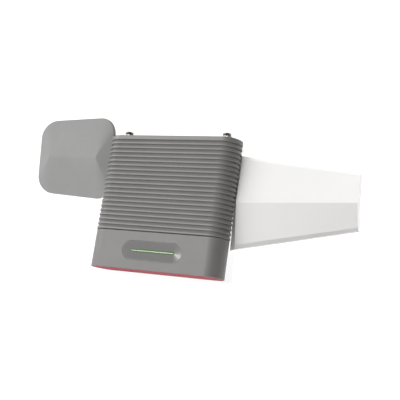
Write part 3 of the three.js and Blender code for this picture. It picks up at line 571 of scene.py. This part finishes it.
def block(name, low, high, place=IDENTITY):
    """A box between two corners."""
    xs, ys, zs = zip(low, high)
    verts = [(x, y, z) for z in zs for y in ys for x in xs]
    faces = [(0, 2, 3, 1), (4, 5, 7, 6), (0, 1, 5, 4), (2, 6, 7, 3), (0, 4, 6, 2), (1, 3, 7, 5)]
    return new_object(name, verts, faces, place)


def around(radii, z):
    """Points about Z at one height, one for each radius."""
    turn = 2 * math.pi / len(radii)
    return [(r * math.cos(turn * k), r * math.sin(turn * k), z) for k, r in enumerate(radii)]


def turned(name, profile, place=IDENTITY, segments=48):
    """A solid of revolution about Z from (radius, z) points. A profile off the axis is a ring."""
    ring = profile[0][0] > 0
    rings = []
    for k in range(segments):
        angle = 2 * math.pi * k / segments
        rings.append([(r * math.cos(angle), r * math.sin(angle), z) for r, z in profile])
    count = len(profile)
    verts = [point for ring_points in rings for point in ring_points]
    faces = []
    for k in range(segments):
        a = k * count
        b = ((k + 1) % segments) * count
        for i in range(count if ring else count - 1):
            j = (i + 1) % count
            faces.append((a + i, b + i, b + j, a + j))
    return new_object(name, verts, faces, place)


def refined(node, width, segments=3, angle=30):
    """A copy of a CAD node's shape with its edges broken."""
    source = frame["nodes"][node]
    obj = bpy.data.objects.new(node + "_fine", source.data.copy())
    bpy.context.scene.collection.objects.link(obj)
    bm = bmesh.new()
    bm.from_mesh(obj.data)
    bmesh.ops.remove_doubles(bm, verts=bm.verts, dist=2e-6)
    bmesh.ops.dissolve_limit(bm, angle_limit=math.radians(1), verts=bm.verts, edges=bm.edges)
    bm.to_mesh(obj.data)
    bm.free()
    return bevel(obj, width, segments, angle)


def rounded(radius, start, stop, centre, steps=4):
    """Points on an arc, in degrees, about centre."""
    points = []
    for i in range(steps + 1):
        angle = math.radians(start + (stop - start) * i / steps)
        points.append((centre[0] + radius * math.cos(angle), centre[1] + radius * math.sin(angle)))
    return points


# ---------------------------------------------------------------- amplifier casing


def rear_window():
    """The space that the rear panel takes out of the casing's back."""
    return block("window", (REAR_LOW.x - GAP, REAR_LOW.y - GAP, -CLEAR),
                 (REAR_HIGH.x + GAP, REAR_HIGH.y + GAP, MID_Z - CAVITY_RADIUS + 1))


def rib_depth(share):
    """How deep the surface lies at one share of a rib's height: a blunt lip, then a long fall."""
    if share < LIP_START:
        return (1 + math.cos(math.pi * share / LIP_START)) / 2
    if share < LIP_END:
        return 0.0
    fall = (share - LIP_END) / (FLOOR_START - LIP_END)
    return min(1.0, fall) ** FALL_CURVE


def ribbed_sleeve():
    """Ribs with a blunt lower lip and a wide groove above it, on a thin tube with a rebate."""
    foot = SLEEVE_LOW.y
    top = SLEEVE_HIGH.y
    pitch = (top - foot) / RIB_COUNT
    profile = []
    for rib in range(RIB_COUNT):
        for k in range(RIB_STEPS):
            share = k / RIB_STEPS
            if rib == RIB_COUNT - 1 and share > LIP_END:
                break
            profile.append((RIB_RADIUS - RIB_DEPTH * rib_depth(share), foot + (rib + share) * pitch))
    profile += rounded(SLEEVE_LIP, 0, 90, (RIB_RADIUS - SLEEVE_LIP, top - SLEEVE_LIP))
    shelf = top - CAP_THICKNESS - GAP
    profile += [(TOP_CAP_RADIUS + GAP, top), (TOP_CAP_RADIUS + GAP, shelf),
                (CAVITY_RADIUS, shelf), (CAVITY_RADIUS, foot)]
    verts, faces = loft([stadium(radius, y) for radius, y in profile], wrap=True)
    obj = cut(new_object("ribbed_sleeve_fine", verts, faces), [rear_window()])
    return piece(obj, "amplifier", "ribbed_grey", "amplifier_grey", "ribbed_sleeve", sharp=60)


def lower_band():
    """The smooth band, with the long rounded opening for the status recess."""
    low = BAND_LOW.y
    high = BAND_HIGH.y
    shelf = BOTTOM_CAP_LOW.y + CAP_THICKNESS + GAP
    profile = rounded(BAND_EDGE, 0, 90, (BAND_RADIUS - BAND_EDGE, high - BAND_EDGE))
    profile += [(CAVITY_RADIUS, high), (CAVITY_RADIUS, shelf),
                (BOTTOM_CAP_RADIUS + GAP, shelf), (BOTTOM_CAP_RADIUS + GAP, low)]
    profile += rounded(BAND_LIP, -90, 0, (BAND_RADIUS - BAND_LIP, low + BAND_LIP))
    verts, faces = loft([stadium(radius, y) for radius, y in profile], wrap=True)
    obj = new_object("lower_band_fine", verts, faces)
    opening = pill("opening", PILL_WIDTH - GAP, PILL_HEIGHT - GAP, MID_Z, MID_Z + 2 * RIB_RADIUS)
    cut(obj, [rear_window(), opening])
    round_opening(obj)
    return piece(obj, "amplifier", "amplifier_grey", "amplifier_grey", "lower_band")


def round_opening(obj):
    """Round the outer edge of the opening in the band."""
    front = (BAND_HIGH.z - 0.01) * MM
    reach = (PILL_WIDTH / 2 + 1) * MM
    bm = bmesh.new()
    bm.from_mesh(obj.data)
    edges = [e for e in bm.edges
             if all(v.co.z > front and abs(v.co.x) < reach for v in e.verts)
             and len(e.link_faces) == 2 and e.calc_face_angle(0) > 1.0]
    bmesh.ops.bevel(bm, geom=edges, offset=OPENING_EDGE * MM, segments=2, profile=0.5,
                    affect="EDGES")
    bm.to_mesh(obj.data)
    bm.free()


def status_bezel():
    """A long shallow valley: two slopes that meet along the light bar, with fanned ends."""
    outer_w = PILL_WIDTH - 2 * GAP
    outer_h = PILL_HEIGHT - 2 * GAP
    front = BEZEL_HIGH.z
    flange_top = BEZEL_LOW.z + BEZEL_FLANGE_THICKNESS
    slot_w = BAR_HIGH.x - BAR_LOW.x + 2 * GAP
    slot_h = BAR_HIGH.y - BAR_LOW.y + 2 * GAP
    steps = [(2 * BEZEL_FLANGE, BEZEL_LOW.z), (2 * BEZEL_FLANGE, flange_top), (0.0, flange_top)]
    steps += [(-2 * inset, front - drop) for inset, drop in BEZEL_ROUNDING]
    rings = [[(x, y, z) for x, y in pill_outline(outer_w + grow, outer_h + grow)]
             for grow, z in steps]
    rim = pill_outline(outer_w - 2 * BEZEL_RIM, outer_h - 2 * BEZEL_RIM)
    lip = pill_outline(slot_w, slot_h)
    for share in (0.0, 0.04, 0.35, 0.7, 1.0):
        z = front - 0.02 - VALLEY_DEPTH * share
        rings.append([(a + (c - a) * share, b + (d - b) * share, z)
                      for (a, b), (c, d) in zip(rim, lip)])
    rings.append([(x, y, BEZEL_LOW.z) for x, y in lip])
    verts, faces = loft(rings, wrap=True)
    obj = new_object("status_bezel_fine", verts, faces)
    return piece(obj, "amplifier", "bezel_grey", "amplifier_grey", "status_bezel", sharp=25)


def light_bar():
    """The light guide: a thin bar with round ends and a crowned face."""
    width = BAR_HIGH.x - BAR_LOW.x
    height = BAR_HIGH.y - BAR_LOW.y
    steps = [(0.0, BAR_LOW.z)]
    steps += [(shrink, BAR_HIGH.z - drop) for shrink, drop in LIGHT_BAR_CROWN]
    rings = [[(x, y, z) for x, y in pill_outline(width - shrink, height - shrink)]
             for shrink, z in steps]
    obj = new_object("light_bar_fine", *loft(rings))
    return piece(obj, "amplifier", "status_green", "status_green", "light_bar")


def cap(name, radius, low, high, edge_low, edge_high, holes):
    """A plate that fills one end of the casing, with its outer rim rounded."""
    profile = [(radius, low)]
    if edge_low:
        profile = rounded(edge_low, -90, 0, (radius - edge_low, low + edge_low))
    if edge_high:
        profile += rounded(edge_high, 0, 90, (radius - edge_high, high - edge_high))
    else:
        profile.append((radius, high))
    obj = new_object(name, *loft([stadium(r, y) for r, y in profile]))
    return cut(obj, holes) if holes else obj


def snap_hooks(prefix, y0, y1):
    """Four hooks that hold a cap behind the casing's front and above its chassis plate."""
    front = MID_Z + CAVITY_RADIUS - GAP - HOOK_THICKNESS
    rear = box_mm("chassis_plate")[0].z + HOOK_OFF_CHASSIS
    for x, side in ((-HOOK_X, "left"), (HOOK_X, "right")):
        for z, label in ((front, "front"), (rear, "rear")):
            hook = block(f"{prefix}_hook_{label}_{side}", (x - HOOK_HALF_WIDTH, y0, z),
                         (x + HOOK_HALF_WIDTH, y1, z + HOOK_THICKNESS))
            piece(bevel(hook, HOOK_EDGE), "amplifier", "accent_red", "accent_red")


def end_caps():
    """The two red caps, with holes in the top one for the ports and the power jack."""
    low = TOP_CAP_HIGH.y - CAP_THICKNESS - TOP_CAP_PROUD
    high = TOP_CAP_HIGH.y
    holes = [port_cutter(x, PORT_RADIUS + GAP, low - 1, high + 1) for x in port_centres()]
    jack_low, jack_high = box_mm("power_jack")
    holes.append(block("hole", (jack_low.x - GAP, low - 1, jack_low.z - GAP),
                       (jack_high.x + GAP, high + 1, jack_high.z + GAP)))
    top = cap("top_cap_fine", TOP_CAP_RADIUS, low, high, 0, TOP_CAP_EDGE, holes)
    piece(top, "amplifier", "accent_red", "accent_red", "top_cap")
    bottom_high = BOTTOM_CAP_LOW.y + CAP_THICKNESS
    bottom = cap("bottom_cap_fine", BOTTOM_CAP_RADIUS, BOTTOM_CAP_LOW.y, bottom_high,
                 BOTTOM_CAP_EDGE, 0, [])
    piece(bottom, "amplifier", "accent_red", "accent_red", "bottom_cap")
    snap_hooks("top", TOP_CAP_LOW.y, low + 0.1)
    snap_hooks("bottom", bottom_high - 0.1, BOTTOM_CAP_HIGH.y)


# ---------------------------------------------------------------- ports


def port_centres():
    """Where the two ports stand along X."""
    centres = []
    for node in ("outside_port_body", "inside_port_body"):
        low, high = box_mm(node)
        centres.append((low.x + high.x) / 2)
    return centres


def along_y(x, y):
    """Places a shape turned about Z so that it stands up along Y at a port."""
    return Matrix.Translation((x, y, MID_Z)) @ Matrix.Rotation(-math.pi / 2, 4, "X")


def port_cutter(x, radius, y0, y1):
    """A round hole along Y through a cap."""
    return turned("hole", [(0, 0), (radius, 0), (radius, y1 - y0), (0, y1 - y0)], along_y(x, y0))


def threaded_tube(name, length, place):
    """A barrel with a true screw thread outside and a bore with a chamfered mouth."""
    segments = 36
    rows_per_turn = 8
    fade_rows = 6
    root = PORT_RADIUS - THREAD_DEPTH
    rows = int((length - THREAD_FOOT - 2 * THREAD_DEPTH) / THREAD_PITCH * rows_per_turn)

    def ring(radius, z, wave=0.0):
        phases = [(z / THREAD_PITCH - k / segments) % 1.0 for k in range(segments)]
        return around([radius - wave * abs(2 * phase - 1) for phase in phases], z)

    rings = [ring(root, 0), ring(root, THREAD_FOOT - 0.1)]
    for row in range(rows):
        fade = min(1.0, row / fade_rows, (rows - 1 - row) / fade_rows)
        z = THREAD_FOOT + row * THREAD_PITCH / rows_per_turn
        rings.append(ring(root + THREAD_DEPTH * fade, z, THREAD_DEPTH * fade))
    rings += [ring(root, length - PORT_CHAMFER), ring(root - PORT_CHAMFER, length),
              ring(PORT_BORE + PORT_MOUTH, length), ring(PORT_BORE, length - PORT_MOUTH),
              ring(PORT_BORE, length - PORT_BORE_DEPTH)]
    return new_object(name, *loft(rings), place)


def hex_ring(name, radius, bore, z0, z1, place):
    """A six-sided nut with its corners turned off."""
    segments = 72
    sixth = math.pi / 3
    flat = radius * math.cos(sixth / 2)
    turned_off = flat - 0.05
    angles = [2 * math.pi * k / segments for k in range(segments)]

    def outline(limit, z):
        return around([min(flat / math.cos(a % sixth - sixth / 2), limit) for a in angles], z)

    def circle(r, z):
        return around([r] * segments, z)

    rings = [circle(bore, z0), outline(turned_off, z0), outline(radius, z0 + NUT_CHAMFER),
             outline(radius, z1 - NUT_CHAMFER), outline(turned_off, z1),
             circle(bore + NUT_MOUTH, z1), circle(bore, z1 - NUT_MOUTH)]
    return new_object(name, *loft(rings, wrap=True), place)


def cable_ports():
    for label, x in zip(("outside", "inside"), port_centres()):
        cable_port(label, x)


def cable_port(label, x):
    """One coaxial port: barrel, flange behind the cap, solder tail, nut, washer and insulator."""
    def port_piece(obj, material, *nodes, sharp=35):
        piece(obj, "amplifier", material, material, *nodes, sharp=sharp)

    low, high = box_mm(f"{label}_port_body")
    foot = low.y + PORT_BASE
    barrel = threaded_tube(f"{label}_port_barrel", high.y - foot, along_y(x, foot))
    port_piece(barrel, "nickel", f"{label}_port_body", sharp=40)

    flange_top = TOP_CAP_HIGH.y - TOP_CAP_PROUD - CAP_THICKNESS - GAP
    flange = hex_ring(f"{label}_port_flange", FLANGE_RADIUS, FLANGE_BORE, 0, FLANGE_THICKNESS,
                      along_y(x, flange_top - FLANGE_THICKNESS))
    port_piece(flange, "nickel")
    tail = block(f"{label}_port_tail", (x - TAIL_HALF_WIDTH, low.y, low.z + TAIL_LIFT),
                 (x + TAIL_HALF_WIDTH, flange_top - FLANGE_THICKNESS - 0.2, MID_Z + 1))
    port_piece(bevel(tail, TAIL_EDGE), "nickel")

    low, high = box_mm(f"{label}_port_nut")
    nut = hex_ring(f"{label}_port_nut_fine", (high.z - low.z) / 2, PORT_RADIUS + GAP / 2,
                   0, high.y - low.y, along_y(x, low.y))
    port_piece(nut, "nickel", f"{label}_port_nut")
    low, high = box_mm(f"{label}_port_washer")
    washer = toothed_washer(f"{label}_port_washer_fine", (high.x - low.x) / 2, high.y - low.y,
                            along_y(x, low.y))
    port_piece(washer, "nickel", f"{label}_port_washer")

    low, high = box_mm(f"{label}_port_insulator")
    length = high.y - low.y
    profile = [(CORE_BORE, 0.0), (CORE_RADIUS, 0.0), (CORE_RADIUS, length - 0.3),
               (CORE_RADIUS - 0.3, length), (CORE_BORE + 0.5, length), (CORE_BORE, length - 0.6)]
    core = turned(f"{label}_port_insulator_fine", profile, along_y(x, low.y))
    port_piece(core, "white_plastic", f"{label}_port_insulator")


def toothed_washer(name, radius, thickness, place):
    """A lock washer with teeth round its rim."""
    per_tooth = 6
    bitten = 2
    bites = [WASHER_BITE if k % per_tooth < bitten else 0.0 for k in range(WASHER_TEETH * per_tooth)]

    def rim(r, z):
        return around([r - bite for bite in bites], z)

    def hole(z):
        return around([PORT_RADIUS + GAP] * len(bites), z)

    edge = WASHER_EDGE
    rings = [hole(edge), rim(radius - edge, 0), rim(radius, edge), rim(radius, thickness - edge),
             rim(radius - edge, thickness), hole(thickness - edge)]
    return new_object(name, *loft(rings, wrap=True), place)


# ---------------------------------------------------------------- indoor panel antenna


def panel_outline(inset, steps=14):
    """Points round the antenna, which is taller towards its right, drawn in by inset."""
    half = PANEL_WIDTH / 2
    points = []
    for number, (side, end) in enumerate(((1, -1), (1, 1), (-1, 1), (-1, -1))):
        corner = PANEL_CORNER_RIGHT if side > 0 else PANEL_CORNER_LEFT
        for i in range(steps + 1):
            angle = math.pi / 2 * (number - 1 + i / steps)
            px = side * (half - corner) + (corner - inset) * math.cos(angle)
            py = end * (PANEL_HEIGHT / 2 - corner) + (corner - inset) * math.sin(angle)
            points.append((px, py * (1 + PANEL_TAPER * px / half)))
    return points


def panel_front_cover():
    """Two broad slopes meet at a short ridge, and the corners fan out from its ends."""
    reach = PANEL_WIDTH / 2 - PANEL_RIDGE_INSET
    rings = [[(x, y, -PANEL_SKIRT) for x, y in panel_outline(0)]]
    for dx, dz in rounded(PANEL_EDGE, 0, 75, (-PANEL_EDGE, -PANEL_EDGE), 5):
        rings.append([(x, y, dz) for x, y in panel_outline(-dx)])
    shoulder = panel_outline(PANEL_EDGE)
    for share in (0.03, 0.25, 0.5, 0.75, 0.9, 0.96, 0.985):
        ring = []
        past = max(0.0, share - PANEL_SOFT_FROM)
        height = PANEL_RIDGE * (share - past * (1 - PANEL_SOFT_SLOPE))
        for x, y in shoulder:
            peak = max(-reach, min(reach, x))
            ring.append((x + (peak - x) * share, y * (1 - share), height))
        rings.append(ring)
    outer = new_object("panel_front_cover_fine", *loft(rings), PANEL_FRAME)
    inner_rings = [[(x, y, z) for x, y in panel_outline(inset)] for inset, z in PANEL_HOLLOW]
    cut(outer, [new_object("hollow", *loft(inner_rings), PANEL_FRAME)])
    return piece(outer, "indoor_antenna", "panel_grey", "panel_grey", "panel_front_cover", sharp=50)


# ---------------------------------------------------------------- outdoor antenna


def donor_half(x):
    """Half the outdoor antenna's width at one place along it."""
    return (DONOR_WIDE + (DONOR_NARROW - DONOR_WIDE) * x / DONOR_LENGTH) / 2


def donor_section(x, wall, side_z, crown, base):
    """The weather cover's section at one place along it, drawn in by a wall's thickness."""
    share = x / DONOR_LENGTH
    bevel_in = DONOR_BEVEL_WIDE + (DONOR_BEVEL_NARROW - DONOR_BEVEL_WIDE) * share
    side = donor_half(x) - wall
    shoulder = donor_half(x) - bevel_in - wall * DONOR_INNER_SHOULDER
    ridge = DONOR_RIDGE - wall

    def on_slope(edge, k):
        return (x, edge + (DONOR_SHIFT - edge) * k / 4, crown + (ridge - crown) * k / 4)

    points = [(x, side, base), (x, side, side_z)]
    points += [on_slope(shoulder, k) for k in range(5)]
    points += [on_slope(-shoulder, k) for k in (3, 2, 1, 0)]
    points += [(x, -side, side_z), (x, -side, base)]
    return points


def donor_radome():
    """The tapered weather cover: two slopes from a long ridge, both edges bevelled, and a low toe."""
    shares = [k / DONOR_STATIONS for k in range(DONOR_STATIONS + 1)]
    outer = [donor_section(DONOR_LENGTH * share, 0, DONOR_RIM, DONOR_SHOULDER, 0) for share in shares]
    start = outer[0]
    spread = donor_half(-DONOR_TOE) / donor_half(0)
    outer.insert(0, [(0.0, y, min(z, DONOR_RIM)) for _, y, z in start])
    outer.insert(0, [(-DONOR_TOE, y * spread, min(z, DONOR_TOE_HEIGHT)) for _, y, z in start])
    shell = new_object("donor_radome_fine", *loft(outer), DONOR_FRAME)
    bevel(shell, DONOR_EDGE, 3, 7)
    reach = DONOR_LENGTH - 2 * DONOR_WALL
    inner = [donor_section(DONOR_WALL + reach * share, DONOR_WALL, DONOR_RIM - 0.8,
                           DONOR_SHOULDER - DONOR_WALL, -CLEAR) for share in shares]
    cut(shell, [new_object("hollow", *loft(inner), DONOR_FRAME)])
    piece(shell, "outdoor_antenna", "radome_white", "radome_white", "donor_radome", sharp=28)


def donor_bosses():
    """Screw bosses that stand down from the weather cover."""
    for number in range(1, 5):
        centre = local_centre(f"donor_screw_{number}", DONOR_FRAME)
        profile = [(BOSS_BORE, BOSS_FOOT), (BOSS_RADIUS - BOSS_BEVEL, BOSS_FOOT),
                   (BOSS_RADIUS, BOSS_FOOT + BOSS_BEVEL), (BOSS_RADIUS, DONOR_SHOULDER),
                   (BOSS_BORE, DONOR_SHOULDER)]
        place = DONOR_FRAME @ Matrix.Translation((centre.x, centre.y, 0))
        boss = turned(f"donor_boss_{number}", profile, place, 32)
        piece(boss, "outdoor_antenna", "radome_white", "radome_white")


# ---------------------------------------------------------------- screws and other small pieces


def local_centre(node, place):
    """The middle of a CAD node's box, in a unit's own frame."""
    low, high = box_mm(node)
    return place.inverted() @ ((low + high) / 2)


def screw(node, place, body, head_z, head_radius, head_height, shank, tip):
    """A pan-head screw that faces the back, with a cross recess and a threaded shank."""
    centre = local_centre(node, place)
    spot = place @ Matrix.Translation((centre.x, centre.y, 0))
    under = head_z + head_height
    profile = [(0.0, head_z), (head_radius * 0.6, head_z), (head_radius * 0.88, head_z + 0.12),
               (head_radius, head_z + head_height * 0.5), (head_radius, under), (shank, under)]
    z = under + 0.3
    while z + SCREW_PITCH < tip - 0.6:
        profile += [(shank - SCREW_THREAD, z), (shank, z + SCREW_PITCH / 2)]
        z += SCREW_PITCH
    profile += [(shank - SCREW_THREAD, z), (shank * 0.3, tip), (0.0, tip)]
    obj = turned(node + "_fine", profile, spot, 32)
    arm = head_radius * 0.55
    half = head_radius * 0.13
    deep = head_z + head_height * 0.7
    cross = [block("arm", (-arm, -half, head_z - 1), (arm, half, deep), spot),
             block("arm", (-half, -arm, head_z - 1), (half, arm, deep), spot)]
    cut(obj, cross)
    piece(obj, body, "steel", frame_slot(node), node, sharp=40)


def frame_slot(node):
    """The record's material slot for a CAD node, which is also its finish here."""
    return next(s["material_slot"] for s in frame["record"]["subparts"] if s["node"] == node)


def screws():
    """Four screws in each large unit's back, and two in the indoor antenna's."""
    for number in range(1, 5):
        screw(f"rear_screw_{number}", IDENTITY, "amplifier", *REAR_SCREW)
        screw(f"donor_screw_{number}", DONOR_FRAME, "outdoor_antenna", *DONOR_SCREW)
    for number in (1, 2):
        screw(f"panel_screw_{number}", PANEL_FRAME, "indoor_antenna", *PANEL_SCREW)


def broken_edges():
    """The simpler pieces keep their shape, with every sharp edge slightly rounded."""
    for node, width in EDGE_WIDTHS.items():
        body = frame["nodes"][node].parent.name.split(":")[1]
        slot = frame_slot(node)
        piece(refined(node, width, 3), body, slot, slot, node)


# ---------------------------------------------------------------- assembly

ribbed_sleeve()
lower_band()
status_bezel()
light_bar()
end_caps()
cable_ports()
panel_front_cover()
donor_radome()
donor_bosses()
screws()
broken_edges()

for node, obj in frame["nodes"].items():
    obj.data.materials.clear()
    obj.data.materials.append(MAT[frame_slot(node)])

# ---------------------------------------------------------------- floor, light and camera


def floor():
    """A plain pale floor, a hair below the units so that nothing shares its plane."""
    n = Nodes("floor")
    haze = n.noise(6, 3)
    n.link(n.mix(n.remap(haze, 0.0, 1.0), (0.95, 0.95, 0.95), (0.97, 0.97, 0.97)),
           n.bsdf.inputs["Base Color"])
    n.bsdf.inputs["Roughness"].default_value = 0.8
    far = FLOOR_REACH
    corners = [(-far, -far), (far, -far), (far, far), (-far, far)]
    plane = new_object("floor", [(x, y, -FLOOR_DROP) for x, y in corners], [(0, 1, 2, 3)])
    plane.data.materials.append(n.material)


def studio():
    """A dim sky, brighter on the upper left, above a pale horizon."""
    world = bpy.data.worlds.new("studio")
    bpy.context.scene.world = world
    world.use_nodes = True
    tree = world.node_tree

    def fade(source, start, stop, low, high):
        node = tree.nodes.new("ShaderNodeMapRange")
        node.interpolation_type = "SMOOTHSTEP"
        node.inputs["From Min"].default_value = start
        node.inputs["From Max"].default_value = stop
        node.inputs["To Min"].default_value = low
        node.inputs["To Max"].default_value = high
        tree.links.new(source, node.inputs["Value"])
        return node.outputs["Result"]

    direction = tree.nodes.new("ShaderNodeTexCoord").outputs["Generated"]
    towards = tree.nodes.new("ShaderNodeVectorMath")
    towards.operation = "DOT_PRODUCT"
    towards.inputs[1].default_value = Vector(SKY_TOWARDS).normalized()
    tree.links.new(direction, towards.inputs[0])
    height = tree.nodes.new("ShaderNodeSeparateXYZ")
    tree.links.new(direction, height.inputs[0])
    both = tree.nodes.new("ShaderNodeMath")
    tree.links.new(fade(towards.outputs["Value"], SKY_FADE_START, SKY_FADE_STOP, SKY_DIM, SKY_BRIGHT),
                   both.inputs[0])
    tree.links.new(fade(height.outputs["Z"], HORIZON_LOW, HORIZON_HIGH, HORIZON_BRIGHT, 0.0),
                   both.inputs[1])
    background = tree.nodes["Background"]
    background.inputs["Color"].default_value = (1.0, 1.0, 1.0, 1.0)
    tree.links.new(both.outputs[0], background.inputs["Strength"])


def lamp(name, towards, energy, softness, bodies, shadows=True):
    """A distant lamp that reaches only the pieces of some bodies, or the floor."""
    data = bpy.data.lights.new(name, "SUN")
    data.use_shadow = shadows
    data.energy = energy
    data.angle = math.radians(softness)
    obj = bpy.data.objects.new(name, data)
    bpy.context.scene.collection.objects.link(obj)
    obj.rotation_euler = Vector(towards).to_track_quat("Z", "Y").to_euler()
    reach = bpy.data.collections.new(name + "_reach")
    for thing in bpy.context.scene.objects:
        if thing.name in bodies or (body_of(thing) or [""])[0] in bodies:
            reach.objects.link(thing)
    obj.light_linking.receiver_collection = reach


def lights():
    """The grey units have a key, a rim, and a fill from below; the white one has a soft wash."""
    studio()
    grey = ["amplifier", "panel_bracket", "indoor_antenna"]
    lamp("key", (-0.5, 0.14, 1.0), 1.9, 20, grey)
    lamp("rim", (-0.8, 0.27, 0.52), 1.35, 8, grey)
    lamp("fill", (0.1, -1.0, 0.45), 1.2, 40, grey)
    lamp("wash", (-0.4, 0.55, 1.0), 3.3, 90, ["outdoor_antenna"])
    lamp("end_wash", (1.0, 0.0, 0.05), 1.8, 60, ["outdoor_antenna"])
    lamp("floor_light", (-0.1, 0.1, 1.0), 2.8, 40, ["floor"], shadows=False)
    lamp("floor_shade", (-0.3, 0.2, 1.0), 1.1, 30, ["floor"])


def camera():
    """Above the set and to its right, beyond its foot, looking back at its middle."""
    data = bpy.data.cameras.new("camera")
    data.lens = CAMERA_LENS
    data.sensor_width = CAMERA_SENSOR
    data.clip_start = 0.01
    eye = bpy.data.objects.new("camera", data)
    bpy.context.scene.collection.objects.link(eye)
    forward = Vector(CAMERA_FORWARD).normalized()
    right = forward.cross(Vector(CAMERA_UP)).normalized()
    up = right.cross(forward)
    turn = Matrix((right, up, -forward)).transposed().to_4x4()
    eye.matrix_world = Matrix.Translation(Vector(CAMERA_PLACE) * MM) @ turn
    bpy.context.scene.camera = eye


floor()
lights()
camera()
bpy.context.scene.view_settings.view_transform = "Standard"
